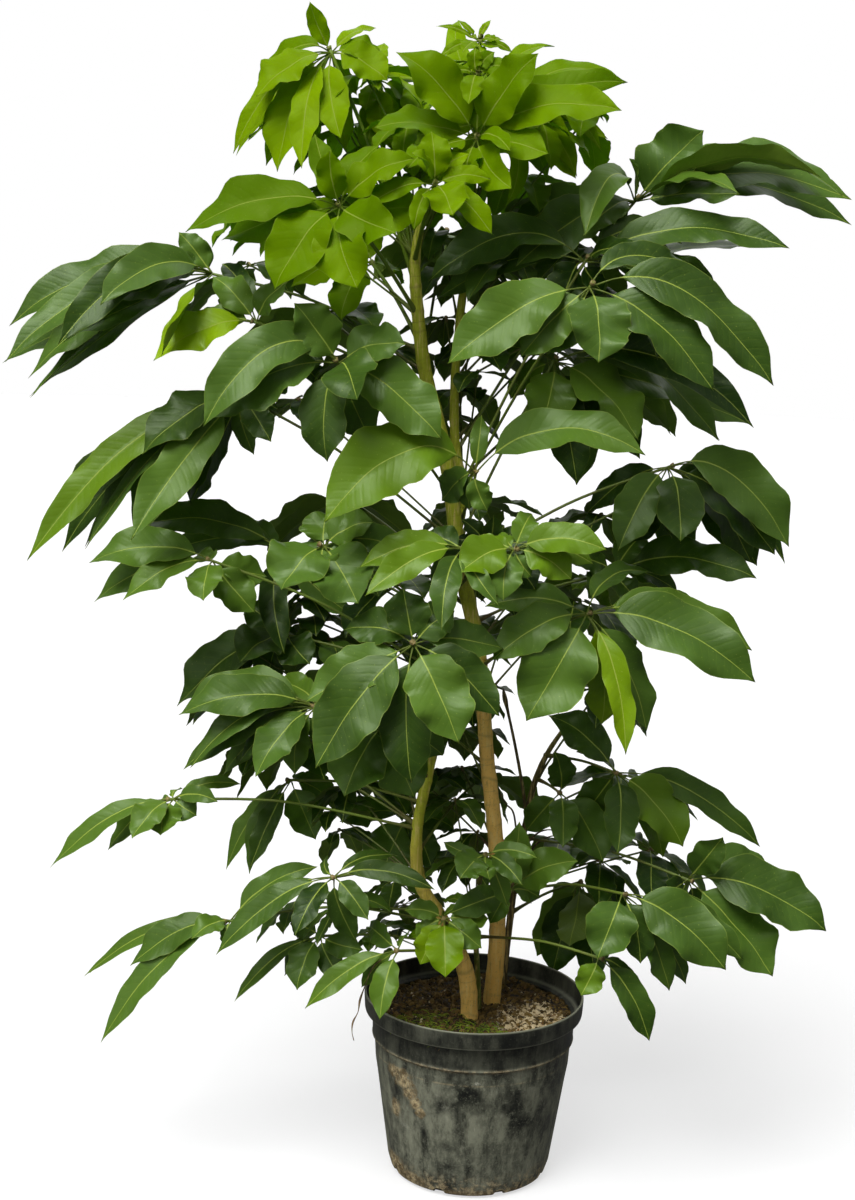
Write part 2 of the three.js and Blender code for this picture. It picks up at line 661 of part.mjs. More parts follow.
function bendCost([depth, aside, lift]) {
  return Math.abs(depth) + ASIDE_COST * Math.abs(aside) + LIFT_COST * Math.abs(lift - 1);
}

const BENDS = bends();

function bentTip(hub, tip, depth, aside) {
  const sight = tip.clone().sub(EYE).normalize();
  const chord = tip.clone().sub(hub);
  const side = new THREE.Vector3().crossVectors(chord, sight).normalize();
  return tip.clone().addScaledVector(sight, depth).addScaledVector(side, aside);
}

// Growing the plant: stems, then every leaf stalk, then the leaflets, each clear of what is there.

Object.values(STEMS).forEach(growStem);
const stemPieces = Object.values(STEMS).map((stem) => stem.piece);

const pot = potSolid();
let soil = soilSolid();
for (const stem of Object.values(STEMS)) {
  soil = soil.subtract(stem.sleeve.solid);
}
const ground = [placed(pot, geometryOf(pot)), placed(soil, geometryOf(soil))];

const leaves = Object.entries(LEAVES).map(([name, row]) => ({ name, ...frontLeaf(row) }));
BACK_LEAVES.forEach((row, index) => leaves.push({ name: `leaf_back_${index + 1}`, ...backLeaf(row) }));

const STALK_SHIFTS = [0, 12, -12, 25, -25, 40, -40, 60, -60, 85, -85];
const STALK_SLIDES = [0, 9, -9, 18, -18];

function growStalk(leaf, others) {
  const strangers = stemPieces.filter((piece) => piece !== leaf.stem.piece).concat(ground, others);
  for (const upwards of STALK_SLIDES) {
    for (const sideways of STALK_SHIFTS) {
      const trial = asPiece(stalkGeometry(leaf, sideways, upwards, BLADE_CLEARANCE));
      if (!crosses(trial, strangers)) {
        const geometry = stalkGeometry(leaf, sideways, upwards, 0);
        const cut = solidOf(geometry).subtract(leaf.stem.sleeve.solid);
        leaf.stalk = placed(cut, geometryOf(cut));
        leaf.blades = [];
        return;
      }
    }
  }
}

const grown = [];
for (const leaf of leaves) {
  growStalk(leaf, grown.map((earlier) => earlier.stalk));
  if (leaf.stalk) {
    grown.push(leaf);
  }
}

function growLeaflet(leaf, { tip, width, arch }) {
  const strangers = [...stemPieces, ...ground];
  for (const other of grown) {
    if (other !== leaf) {
      strangers.push(other.stalk, ...other.blades.map((blade) => blade.whole));
    }
  }
  const sisterBlades = leaf.blades.map((blade) => blade.blade);
  const sisterWholes = leaf.blades.map((blade) => blade.whole);
  for (const [depth, aside, lift] of BENDS) {
    const end = bentTip(leaf.hub, tip, depth, aside);
    const make = (extra, bladeOnly) => (
      asPiece(leafletGeometry(leaf, end, width, lift * arch, extra, bladeOnly))
    );
    const fatBlade = make(BLADE_CLEARANCE, true);
    if (crosses(fatBlade, strangers) || crosses(fatBlade, [leaf.stalk, ...sisterWholes])) {
      continue;
    }
    const fatWhole = make(BLADE_CLEARANCE, false);
    if (crosses(fatWhole, strangers) || crosses(fatWhole, sisterBlades)) {
      continue;
    }
    leaf.blades.push({ whole: make(0, false), blade: make(0, true) });
    return;
  }
}

// Every leaf gets its first leaflet, then every leaf its second, and so on.
const mostLeaflets = Math.max(...grown.map((leaf) => leaf.tips.length));
for (let turn = 0; turn < mostLeaflets; turn++) {
  for (const leaf of grown) {
    if (turn < leaf.tips.length) {
      growLeaflet(leaf, leaf.tips[turn]);
    }
  }
}

// The exported scene graph

const group = new THREE.Group();
group.name = "potted_umbrella_plant";

function addMesh(name, geometry, colour, roughness) {
  const material = new THREE.MeshStandardMaterial({ color: colour, roughness, metalness: 0 });
  const mesh = new THREE.Mesh(geometry, material);
  mesh.name = name;
  group.add(mesh);
}

addMesh("pot", geometryOf(pot), "#26282a", 0.6);
addMesh("soil", geometryOf(soil), "#3a2416", 0.95);
for (const stem of Object.values(STEMS)) {
  addMesh(stem.name, geometryOf(stem.piece.solid), stem.colour, 0.7);
}
for (const leaf of grown) {
  let solid = leaf.stalk.solid;
  for (const blade of leaf.blades) {
    solid = solid.add(blade.whole.solid);
  }
  addMesh(leaf.name, geometryOf(solid), leaf.name.includes("top") ? "#6f9a1f" : "#2f5a1c", 0.4);
}

export default group;
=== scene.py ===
"""The looks of the potted umbrella plant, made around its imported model.

Every leaf and stem is read back from its own node, so that its finer piece lies where the node does.
"""

import math
import random
from collections import namedtuple

import bmesh
import bpy
from mathutils import Matrix, Vector, noise
from mathutils.bvhtree import BVHTree


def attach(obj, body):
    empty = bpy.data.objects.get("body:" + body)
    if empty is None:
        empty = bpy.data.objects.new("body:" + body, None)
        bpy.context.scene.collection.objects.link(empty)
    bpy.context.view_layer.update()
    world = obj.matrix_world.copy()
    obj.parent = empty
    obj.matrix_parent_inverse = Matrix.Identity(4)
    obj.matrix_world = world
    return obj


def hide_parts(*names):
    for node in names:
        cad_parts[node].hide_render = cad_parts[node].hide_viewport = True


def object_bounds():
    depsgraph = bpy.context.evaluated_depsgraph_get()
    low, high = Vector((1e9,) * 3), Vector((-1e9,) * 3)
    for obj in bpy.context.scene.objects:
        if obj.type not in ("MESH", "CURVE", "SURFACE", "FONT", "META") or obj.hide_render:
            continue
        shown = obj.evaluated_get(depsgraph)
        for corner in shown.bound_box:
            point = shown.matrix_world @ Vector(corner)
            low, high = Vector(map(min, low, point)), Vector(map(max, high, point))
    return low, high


bl_info = {
    "name": "Potted umbrella plant",
    "version": (1, 0, 0),
    "blender": (4, 5, 0),
    "location": "View3D > Sidebar > Umbrella plant",
    "description": "Makes the plant, its pot and its soil around the packed model",
    "category": "Add Mesh",
}

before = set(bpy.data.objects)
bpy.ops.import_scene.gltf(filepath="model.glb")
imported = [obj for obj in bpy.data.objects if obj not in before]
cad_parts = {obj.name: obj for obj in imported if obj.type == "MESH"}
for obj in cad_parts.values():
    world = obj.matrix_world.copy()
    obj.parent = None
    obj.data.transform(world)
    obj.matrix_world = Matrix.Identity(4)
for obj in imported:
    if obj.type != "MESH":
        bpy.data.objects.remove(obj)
CAD_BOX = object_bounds()
MM = 0.001

# The part's one body and its stems
BODY = "root"
STEMS = ("stem_front", "stem_main", "stem_side", "shoot")
FRONT, MAIN, SIDE, SHOOT = STEMS

# Vertices nearer than the first are one, and those nearer than the second to a stem's foot belong to it
MERGE = 0.02 * MM
LEVEL = 0.5 * MM

# Where the stations of a packed leaflet lie along it, and how wide each is beside the widest
STATIONS = (0.33, 0.58, 0.83)
STATION_WIDTHS = (0.86, 1.0, 0.64)

# Where a packed leaflet starts along its midrib: this share of its length, and at least so far from the hub
BASE_SHARE = 0.15
BASE_LEAST = 13 * MM

# Limits that tell a leaflet's tip and its narrow foot from the rest of a leaf
FOOT_WIDEST = 6 * MM
BLADE_NARROWEST = 9 * MM
POINTED = 0.1

# How far a hub's knob reaches, how far apart a stalk's rings are at least, and how far a stalk goes on
# into its stem and past its hub
KNOB_REACH = 16 * MM
RING_STEP = 6 * MM
STALK_SUNK = 8 * MM
HUB_PAST = 4 * MM

# A stem with this radius or more has full scars and roughness, and a stem has a ring at each step
STOUT_RADIUS = 9 * MM
STEM_STEP = 6 * MM

# The pot's profile and its drain notches
POT_HEIGHT = 285 * MM
POT_BASE_RADIUS = 121 * MM
POT_WAIST_RADIUS = 150 * MM
POT_WAIST_HEIGHT = 180 * MM
POT_COLLAR_RADIUS = 155.5 * MM
POT_COLLAR_LOW = 217 * MM
POT_RIM_RADIUS = 170 * MM
POT_RIM_LOW = 257 * MM
POT_WALL = 3.5 * MM
POT_FLOOR = 5 * MM
POT_FOOT_BEVEL = 9 * MM
POT_FOOT_HEIGHT = 22 * MM
POT_FOOT_FLARE = 5.5 * MM
POT_STEP_HEIGHT = 194 * MM
DRAIN_COUNT = 8
DRAIN_RADIUS = 11 * MM
DRAIN_REACH = 12 * MM
DRAIN_INSET = 3 * MM
DRAIN_RISE = 1 * MM
POT_SHARP_ANGLE = math.radians(35)

# The soil's top: its height, how much it rises in the middle, and how far it dips in a band at its edge
SOIL_TOP = 255 * MM
SOIL_CROWN = 4 * MM
SOIL_EDGE_DIP = 6 * MM
SOIL_EDGE_BAND = 14 * MM

# The camera of the photograph
CAMERA_PLACE = Vector((-0.092, -3.0, 1.45))
CAMERA_PITCH = math.radians(10)
CAMERA_ROLL = math.radians(1.8)
PHOTO_WIDTH = 855
PHOTO_HEIGHT = 1200
FOCUS_PIXELS = 2033
SHIFT_PIXELS = -14
SENSOR = 36.0

# The white dome round the plant, and how far from the plant the lights stand
DOME_RADIUS = 14.0
LIGHT_DISTANCE = 3.0

Leaflet = namedtuple("Leaflet", "line ups raises half length tone")
Leaf = namedtuple("Leaf", "name hub petiole leaflets tone")
Inner = namedtuple("Inner", "x y depth reach slim count stem foot tone")
Aimed = namedtuple("Aimed", "x y depth arch half facing tone")

# Leaves of the dense inside and the crown. Each row: the hub's place in the photograph and its depth,
# the leaflets' length, their half width as a share of it, their number, the stem, the stalk's height on
# it, and how young the leaf is. The deepest leaves get the lowest tones, so their near-black green is
# partly their age and partly painted shade
INNER_LEAVES = [Inner(*row) for row in [
    (412, 640, 70, 165, 0.2, 8, FRONT, 640, 0.12), (388, 715, 70, 160, 0.2, 8, FRONT, 560, 0.1),
    (455, 640, 75, 140, 0.2, 7, MAIN, 700, 0.12), (462, 730, 80, 130, 0.21, 7, MAIN, 560, 0.1),
    (330, 640, 90, 160, 0.2, 7, FRONT, 640, 0.15), (300, 740, 70, 145, 0.2, 7, FRONT, 560, 0.14),
    (352, 785, 60, 130, 0.21, 7, FRONT, 500, 0.1), (262, 735, 20, 120, 0.2, 6, FRONT, 540, 0.2),
    (400, 585, 80, 150, 0.2, 8, MAIN, 760, 0.14), (345, 570, 110, 150, 0.2, 7, MAIN, 800, 0.16),
    (275, 575, 110, 130, 0.2, 6, MAIN, 820, 0.2), (470, 505, 90, 130, 0.21, 7, MAIN, 860, 0.16),
    (430, 415, 80, 140, 0.2, 8, MAIN, 1010, 0.14), (385, 350, 90, 150, 0.2, 8, MAIN, 1120, 0.2),
    (340, 310, 60, 140, 0.2, 7, MAIN, 1180, 0.24), (250, 265, 110, 150, 0.2, 7, MAIN, 1240, 0.3),
    (470, 345, 100, 150, 0.2, 8, FRONT, 1130, 0.12), (505, 300, 90, 150, 0.2, 8, FRONT, 1200, 0.12),
    (545, 345, 150, 150, 0.2, 7, FRONT, 1150, 0.1), (590, 250, 90, 160, 0.2, 8, FRONT, 1250, 0.14),
    (440, 235, 110, 130, 0.21, 8, FRONT, 1300, 0.3), (520, 175, 110, 140, 0.2, 7, FRONT, 1380, 0.55),
    (585, 120, 60, 130, 0.2, 7, FRONT, 1440, 0.72), (545, 85, 70, 120, 0.2, 7, FRONT, 1480, 0.85),
    (425, 90, 90, 130, 0.2, 8, MAIN, 1440, 0.8), (350, 125, 90, 130, 0.19, 8, MAIN, 1400, 0.78),
    (395, 150, 40, 120, 0.2, 8, MAIN, 1420, 0.75), (335, 195, 90, 140, 0.2, 7, MAIN, 1370, 0.66),
    (455, 165, 20, 110, 0.21, 7, MAIN, 1440, 0.7), (440, 205, 40, 100, 0.21, 7, MAIN, 1380, 0.6),
    (575, 600, 100, 150, 0.2, 7, MAIN, 760, 0.1), (600, 690, 110, 130, 0.2, 6, SIDE, 610, 0.12),
    (620, 775, 110, 140, 0.2, 7, SIDE, 560, 0.12), (650, 850, 60, 130, 0.2, 7, SIDE, 440, 0.14),
    (600, 860, 110, 120, 0.21, 7, SIDE, 400, 0.16), (560, 840, 150, 110, 0.21, 6, SIDE, 420, 0.14),
    (455, 800, 60, 95, 0.22, 7, SHOOT, 400, 0.2), (462, 858, 0, 80, 0.22, 7, SHOOT, 360, 0.24),
    (395, 880, 20, 90, 0.21, 7, FRONT, 440, 0.22), (375, 930, 0, 75, 0.2, 6, FRONT, 350, 0.3),
    (440, 935, -100, 55, 0.24, 4, FRONT, 400, 0.72), (470, 905, -90, 60, 0.22, 5, SHOOT, 430, 0.4),
    (340, 905, -70, 85, 0.18, 6, FRONT, 420, 0.3), (300, 900, 20, 95, 0.18, 6, FRONT, 400, 0.26),
    (300, 85, 40, 110, 0.18, 7, MAIN, 1440, 0.85), (285, 120, 10, 110, 0.17, 6, MAIN, 1430, 0.8),
    (365, 75, 20, 120, 0.19, 8, MAIN, 1450, 0.85), (410, 120, -20, 110, 0.2, 7, MAIN, 1440, 0.75),
    (490, 120, 70, 130, 0.2, 8, FRONT, 1430, 0.7), (540, 120, 0, 110, 0.2, 7, FRONT, 1480, 0.8),
    (590, 95, 30, 100, 0.2, 6, FRONT, 1480, 0.85), (300, 215, 60, 120, 0.2, 7, MAIN, 1340, 0.6),
    (265, 205, 20, 110, 0.2, 6, MAIN, 1330, 0.62), (555, 205, 130, 140, 0.2, 7, FRONT, 1330, 0.3),
    (470, 265, 120, 130, 0.2, 8, FRONT, 1280, 0.2), (460, 390, 130, 140, 0.2, 8, FRONT, 1080, 0.1),
    (620, 300, 90, 140, 0.2, 7, FRONT, 1180, 0.14), (640, 500, 90, 120, 0.2, 7, MAIN, 900, 0.14),
    (560, 540, 110, 130, 0.2, 7, MAIN, 840, 0.1), (520, 585, 60, 110, 0.2, 7, MAIN, 780, 0.2),
    (300, 600, 120, 130, 0.2, 7, MAIN, 740, 0.1), (250, 650, 90, 120, 0.2, 6, FRONT, 650, 0.12),
    (240, 690, 30, 110, 0.2, 6, FRONT, 600, 0.14), (420, 780, 110, 110, 0.2, 7, MAIN, 480, 0.06),
    (470, 620, 140, 140, 0.2, 7, MAIN, 700, 0.06), (300, 400, 80, 115, 0.2, 6, MAIN, 1010, 0.06),
    (515, 258, 20, 130, 0.2, 6, FRONT, 1290, 0.34), (446, 318, 70, 110, 0.2, 7, FRONT, 1180, 0.12),
    (478, 372, 60, 110, 0.2, 7, FRONT, 1080, 0.08), (478, 832, 50, 80, 0.22, 6, SHOOT, 420, 0.08),
    (462, 768, 120, 110, 0.2, 7, MAIN, 520, 0.04), (332, 812, 40, 90, 0.2, 6, FRONT, 520, 0.06),
    (400, 930, 60, 70, 0.21, 6, FRONT, 360, 0.1), (312, 620, 150, 120, 0.2, 6, MAIN, 720, 0.03),
    (600, 515, 140, 110, 0.2, 6, MAIN, 880, 0.04), (470, 690, 170, 130, 0.2, 7, MAIN, 600, 0.04),
    (452, 850, 110, 100, 0.2, 7, MAIN, 420, 0.06), (340, 830, 100, 95, 0.2, 6, FRONT, 520, 0.06),
    (404, 905, 90, 85, 0.2, 6, FRONT, 400, 0.08), (330, 100, 60, 110, 0.17, 6, MAIN, 1440, 0.82),
    (470, 62, -20, 85, 0.09, 9, FRONT, 1540, 1.0), (492, 78, -30, 95, 0.07, 9, FRONT, 1530, 1.0),
    (455, 88, -10, 80, 0.09, 8, FRONT, 1520, 0.95),
]]

# Leaflets that the solids leave out, by their leaf. Each row: the tip's place in the photograph and its
# depth, how high the leaflet arches, its half width, how far its face turns to the camera, and how young
# it is. Each is tried at several depths, this much nearer or farther
AIMED_LEAFLETS = {
    "leaf_left_1": [
        (9, 326, 0, 46, 34, 0.6, 0.24), (5, 362, 30, 52, 28, 0.6, 0.34), (178, 241, 60, 10, 20, 0.7, 0.2),
        (58, 345, -50, 52, 30, 0.8, 0.14), (100, 305, -90, 36, 32, 0.7, 0.3),
        (30, 398, 60, 30, 22, 0.3, 0.3), (161, 357, -160, 14, 27, -0.7, 1.0),
    ],
    "leaf_left_2": [(222, 264, 90, 16, 18, 0.8, 0.06), (252, 446, 60, 0, 22, 0.7, 0.05)],
    "leaf_left_3": [(203, 427, -170, 68, 34, 0.8, 0.32)],
    "leaf_left_4": [
        (27, 561, -10, 56, 28, 0.6, 0.62), (62, 552, 60, 52, 28, 0.7, 0.16),
        (85, 549, 10, 40, 17, 0.3, 0.3), (131, 540, -30, 16, 34, 0.8, 0.42),
        (190, 505, 90, 0, 26, 0.6, 0.05),
    ],
    "leaf_top_1": [
        (233, 154, -30, 44, 17, 0.6, 0.98), (266, 166, 10, 34, 21, 0.8, 0.8),
        (300, 164, -60, 24, 18, 0.8, 0.84), (346, 152, 20, 10, 17, 0.6, 0.9),
        (258, 92, 50, 34, 20, 0.6, 0.78),
    ],
    "leaf_top_7": [(366, 158, 20, 10, 18, 0.7, 0.7), (404, 150, 40, 14, 18, 0.7, 0.74)],
    "leaf_top_8": [(487, 152, -30, 4, 15, 0.7, 0.95)],
    "leaf_top_4": [
        (577, 177, 0, 52, 20, 0.7, 0.88), (602, 152, 40, 56, 18, 0.7, 0.82),
        (624, 84, 60, 44, 20, 0.4, 0.8), (548, 178, 60, 30, 24, 0.8, 0.55),
    ],
    "leaf_right_1": [
        (843, 197, 20, 66, 30, 0.4, 0.26), (822, 178, -60, 44, 28, -0.4, 0.62),
        (738, 193, -110, 26, 22, 0.3, 0.4), (585, 236, -40, 62, 26, 0.5, 0.42),
    ],
    "leaf_right_2": [
        (722, 304, -90, 14, 26, 0.2, 0.5), (560, 310, -20, 20, 30, 0.8, 0.06),
        (786, 246, -40, 8, 26, 0.3, 0.16),
    ],
    "leaf_right_4": [
        (754, 428, 0, 58, 30, 0.7, 0.1), (720, 441, 90, 48, 22, 0.6, 0.1),
        (640, 459, 120, 22, 34, 0.9, 0.1), (577, 485, 60, 10, 32, 0.9, 0.08),
    ],
    "leaf_right_5": [
        (588, 512, 110, 16, 22, 0.7, 0.06), (789, 547, 30, 52, 40, 0.9, 0.26),
        (785, 564, 90, 56, 24, 0.6, 0.12), (757, 566, 120, 22, 36, 0.9, 0.08),
        (680, 560, 140, 10, 34, 0.9, 0.08), (618, 551, 20, 20, 32, 0.9, 0.2),
    ],
    "leaf_right_7": [(748, 651, -60, 40, 26, 0.6, 0.3)],
    "leaf_right_13": [(552, 975, 160, 14, 34, 0.9, 0.06), (596, 985, 120, 8, 30, 0.9, 0.1)],
    "leaf_left_8": [(182, 712, -40, 30, 36, 0.7, 0.36), (190, 768, -60, 40, 20, 0.6, 0.3)],
    "leaf_left_10": [(250, 868, 60, 10, 18, 0.4, 0.14)],
    "leaf_left_11": [(90, 973, -40, 36, 9, 0.4, 0.3)],
    "leaf_left_12": [(218, 951, -90, 30, 15, 0.5, 0.26)],
    "leaf_low_1": [(372, 970, -120, 4, 14, 0.7, 0.5)],
}
AIMED_SHIFTS = (0, 45, -45, 90, -90, 140)

# Leaflets that stand out from their neighbours: the place in the photograph where their middle shows, and
# how young they look
TINTED_LEAFLETS = [
    (606, 690, 0.82), (378, 478, 0.56), (400, 565, 0.62), (485, 560, 0.66), (562, 550, 0.62),
    (175, 322, 0.9), (50, 540, 0.7), (445, 955, 0.8), (582, 975, 0.6), (650, 812, 0.55), (690, 275, 0.5),
    (600, 300, 0.45), (525, 290, 0.5), (200, 336, 0.95), (530, 610, 0.35), (700, 645, 0.3),
    (430, 690, 0.34), (345, 690, 0.32), (250, 150, 0.9),
]
TINT_REACH = 20

# Places where the photograph shows light through the plant: the middle and the reach of each
OPEN_PLACES = [
    (280, 478, 52, 38), (305, 520, 22, 18), (398, 508, 34, 34), (535, 478, 50, 26), (690, 428, 46, 26),
    (536, 745, 22, 58), (585, 798, 18, 10), (262, 848, 66, 24), (528, 925, 20, 30), (706, 738, 56, 34),
    (705, 214, 60, 12), (392, 290, 18, 48), (624, 150, 20, 32), (212, 625, 56, 22), (150, 882, 80, 22),
    (150, 395, 70, 14), (212, 175, 24, 40), (560, 575, 22, 12), (495, 395, 12, 18), (640, 800, 16, 10),
    (395, 960, 22, 18),
]


def camera_matrix():
    """Where the photograph's camera stands and how it looks."""
    tilt = Matrix.Rotation(math.pi / 2 - CAMERA_PITCH, 4, "X")
    return Matrix.Translation(CAMERA_PLACE) @ tilt @ Matrix.Rotation(CAMERA_ROLL, 4, "Z")


def seen_at(x, y, depth):
    """The point at a depth that shows at a place in the photograph."""
    across = (x - PHOTO_WIDTH / 2) / FOCUS_PIXELS
    down = (y - PHOTO_HEIGHT / 2 - SHIFT_PIXELS) / FOCUS_PIXELS
    way = camera_matrix().to_3x3() @ Vector((across, -down, -1.0))
    return CAMERA_PLACE + way * ((depth - CAMERA_PLACE.y) / way.y)


def shows_at(point):
    """The place in the photograph where a point shows."""
    seen = camera_matrix().inverted() @ point
    across = seen.x / -seen.z
    up = seen.y / -seen.z
    x = PHOTO_WIDTH / 2 + across * FOCUS_PIXELS
    y = PHOTO_HEIGHT / 2 + SHIFT_PIXELS - up * FOCUS_PIXELS
    return Vector((x, y))


def tint(red, green, blue):
    """A colour's linear shares, from its everyday numbers up to 255."""
    return tuple(
        part / 12.92 if part <= 0.04045 else ((part + 0.055) / 1.055) ** 2.4
        for part in (red / 255, green / 255, blue / 255)
    )


def full(colour):
    return (*colour, 1.0)


# Node trees


def as_node(operation):
    """A method that adds a node with an operation, which its own socket enters first."""

    def method(self, *others):
        return self.math(operation, self, *others)

    return method


class Socket:
    """A socket in a node tree. Sums, products and the like add nodes."""

    def __init__(self, maker, socket):
        self.maker = maker
        self.socket = socket

    def math(self, operation, *others):
        made = self.maker.node(self.kind, {"operation": operation}, dict(enumerate(others)))
        return type(self)(self.maker, made.outputs[0])

    __add__ = as_node("ADD")
    __radd__ = as_node("ADD")
    __sub__ = as_node("SUBTRACT")


class Value(Socket):
    """A number."""

    kind = "ShaderNodeMath"
    __mul__ = as_node("MULTIPLY")
    __rmul__ = as_node("MULTIPLY")
    __truediv__ = as_node("DIVIDE")
    __pow__ = as_node("POWER")
    least = as_node("MINIMUM")
    most = as_node("MAXIMUM")
    size = as_node("ABSOLUTE")
    sine = as_node("SINE")
    cosine = as_node("COSINE")
    fraction = as_node("FRACT")
    over = as_node("GREATER_THAN")
    below = as_node("LESS_THAN")

    def __rsub__(self, other):
        return self.math("SUBTRACT", other, self)

    def root(self):
        return self.math("SQRT", self.most(0.0))

    def rise(self, low, high):
        """0 below low and 1 above high, with a smooth climb between them."""
        inputs = {"Value": self, "From Min": low, "From Max": high}
        made = self.maker.node("ShaderNodeMapRange", {"interpolation_type": "SMOOTHSTEP"}, inputs)
        return Value(self.maker, made.outputs[0])

    def bell(self, width):
        """1 where the number is 0, falling smoothly to either side."""
        return self.math("EXPONENT", (self / width) ** 2 * -1)


class Arrow(Socket):
    """A vector."""

    kind = "ShaderNodeVectorMath"
    cross = as_node("CROSS_PRODUCT")
    unit = as_node("NORMALIZE")
    stretched = as_node("MULTIPLY")

    def __mul__(self, other):
        made = self.maker.node(self.kind, {"operation": "SCALE"}, {"Vector": self, "Scale": other})
        return Arrow(self.maker, made.outputs[0])

    def length(self):
        made = self.maker.node(self.kind, {"operation": "LENGTH"}, {0: self})
        return Value(self.maker, made.outputs["Value"])

    def parts(self):
        made = self.maker.node("ShaderNodeSeparateXYZ", {}, {0: self})
        return [Value(self.maker, socket) for socket in made.outputs]


def pick(sockets, key):
    """A node's socket in use, by its name or its place."""
    used = [socket for socket in sockets if socket.enabled]
    return used[key] if isinstance(key, int) else next(s for s in used if s.name == key)


def set_points(mapping, points):
    """Gives a float curve its points."""
    curve = mapping.curves[0]
    curve.points[0].location = points[0]
    curve.points[-1].location = points[-1]
    for x, y in points[1:-1]:
        curve.points.new(x, y)
    mapping.update()


def set_stops(ramp, stops):
    """Gives a colour ramp its stops."""
    while len(ramp.elements) < len(stops):
        ramp.elements.new(0.5)
    for element, (place, colour) in zip(ramp.elements, stops):
        element.position = place
        element.color = full(colour)


class Maker:
    """Adds nodes to one tree."""

    def __init__(self, tree):
        self.tree = tree

    def node(self, kind, settings=None, inputs=None):
        made = self.tree.nodes.new(kind)
        for name, setting in (settings or {}).items():
            if name == "points":
                set_points(made.mapping, setting)
            elif name == "stops":
                set_stops(made.color_ramp, setting)
            else:
                setattr(made, name, setting)
        for key, given in (inputs or {}).items():
            self.put(pick(made.inputs, key), given)
        return made

    def put(self, socket, given):
        if isinstance(given, Socket):
            given = given.socket
        if isinstance(given, bpy.types.NodeSocket):
            self.tree.links.new(given, socket)
        else:
            socket.default_value = given

    def value(self, kind, settings=None, inputs=None, output=0):
        return Value(self, pick(self.node(kind, settings, inputs).outputs, output))

    def arrow(self, kind, settings=None, inputs=None, output=0):
        return Arrow(self, pick(self.node(kind, settings, inputs).outputs, output))

    def geometry(self, kind, inputs, output=0, **settings):
        """An output of a node that makes or changes geometry."""
        return pick(self.node("GeometryNode" + kind, settings, inputs).outputs, output)

    def named(self, label, kind="FLOAT_VECTOR"):
        """A named attribute of the geometry."""
        read = self.arrow if kind == "FLOAT_VECTOR" else self.value
        return read("GeometryNodeInputNamedAttribute", {"data_type": kind}, {"Name": label})

    def drawn(self, low, high, seed, kind="FLOAT"):
        """A random number or vector for each point."""
        draw = self.arrow if kind == "FLOAT_VECTOR" else self.value
        return draw("FunctionNodeRandomValue", {"data_type": kind}, {"Min": low, "Max": high, "Seed": seed})

    def attribute(self, label):
        """A vector attribute, in a material."""
        return self.arrow("ShaderNodeAttribute", {"attribute_name": label}, {}, "Vector")

    def single(self, label):
        """A number attribute, in a material."""
        return self.value("ShaderNodeAttribute", {"attribute_name": label}, {}, "Fac")

    def spot(self):
        """The shaded point's place on its object."""
        return self.arrow("ShaderNodeTexCoord", {}, {}, "Object")

    def join(self, x, y, z):
        return self.arrow("ShaderNodeCombineXYZ", {}, {0: x, 1: y, 2: z})

    def curve(self, points, factor):
        return self.value("ShaderNodeFloatCurve", {"points": points}, {"Factor": 1.0, "Value": factor})

    def noise(self, place, scale, detail=2.0, roughness=0.5):
        inputs = {"Vector": place, "Scale": scale, "Detail": detail, "Roughness": roughness}
        return self.value("ShaderNodeTexNoise", {}, inputs)

    def grains(self, place, scale):
        """The distance to the nearest of many scattered points."""
        return self.value("ShaderNodeTexVoronoi", {}, {"Vector": place, "Scale": scale})

    def blend(self, factor, first, second):
        """A colour between two, by a factor."""
        ends = [end if isinstance(end, bpy.types.NodeSocket) else full(end) for end in (first, second)]
        inputs = {"Factor": factor, "A": ends[0], "B": ends[1]}
        return pick(self.node("ShaderNodeMix", {"data_type": "RGBA"}, inputs).outputs, 0)

    def layered(self, body, layers):
        """A colour with others blended over it in turn, each by its own factor."""
        for factor, colour in layers:
            body = self.blend(factor, body, colour)
        return body

    def ramp(self, stops, factor):
        return self.node("ShaderNodeValToRGB", {"stops": stops}, {"Fac": factor}).outputs["Color"]


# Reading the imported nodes


def merged(node):
    """A node's mesh with its loose triangles joined."""
    mesh = bmesh.new()
    mesh.from_mesh(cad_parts[node].data)
    bmesh.ops.remove_doubles(mesh, verts=mesh.verts, dist=MERGE)
    mesh.verts.index_update()
    return mesh


def rings_from(start, most):
    """The vertices at each further edge's distance from the first ones."""
    rings = [list(start)]
    seen = set(start)
    while len(rings) <= most:
        ring = []
        for vert in rings[-1]:
            for edge in vert.link_edges:
                other = edge.other_vert(vert)
                if other not in seen:
                    seen.add(other)
                    ring.append(other)
        if not ring:
            break
        rings.append(ring)
    return rings


def spread(ring):
    return max((a.co - b.co).length for a in ring for b in ring)


def centre_of(points):
    return sum(points, Vector()) / len(points)


def is_pointed(vert):
    """Whether all the edges of a vertex lead the same way, as at a leaflet's tip."""
    ways = [(edge.other_vert(vert).co - vert.co).normalized() for edge in vert.link_edges]
    middle = sum(ways, Vector()).normalized()
    return min(way.dot(middle) for way in ways) > POINTED


def section_of(ring):
    """A ring's centre, its face's direction up to sign, and its two edges."""
    pairs = [(a, b) for i, a in enumerate(ring) for b in ring[i + 1:]]
    edges = max(pairs, key=lambda pair: (pair[0].co - pair[1].co).length)
    middles = [vert for vert in ring if vert not in edges]
    centre = centre_of([vert.co for vert in middles])
    up = (middles[0].co - middles[1].co).normalized()
    return centre, up, [vert.co.copy() for vert in edges]


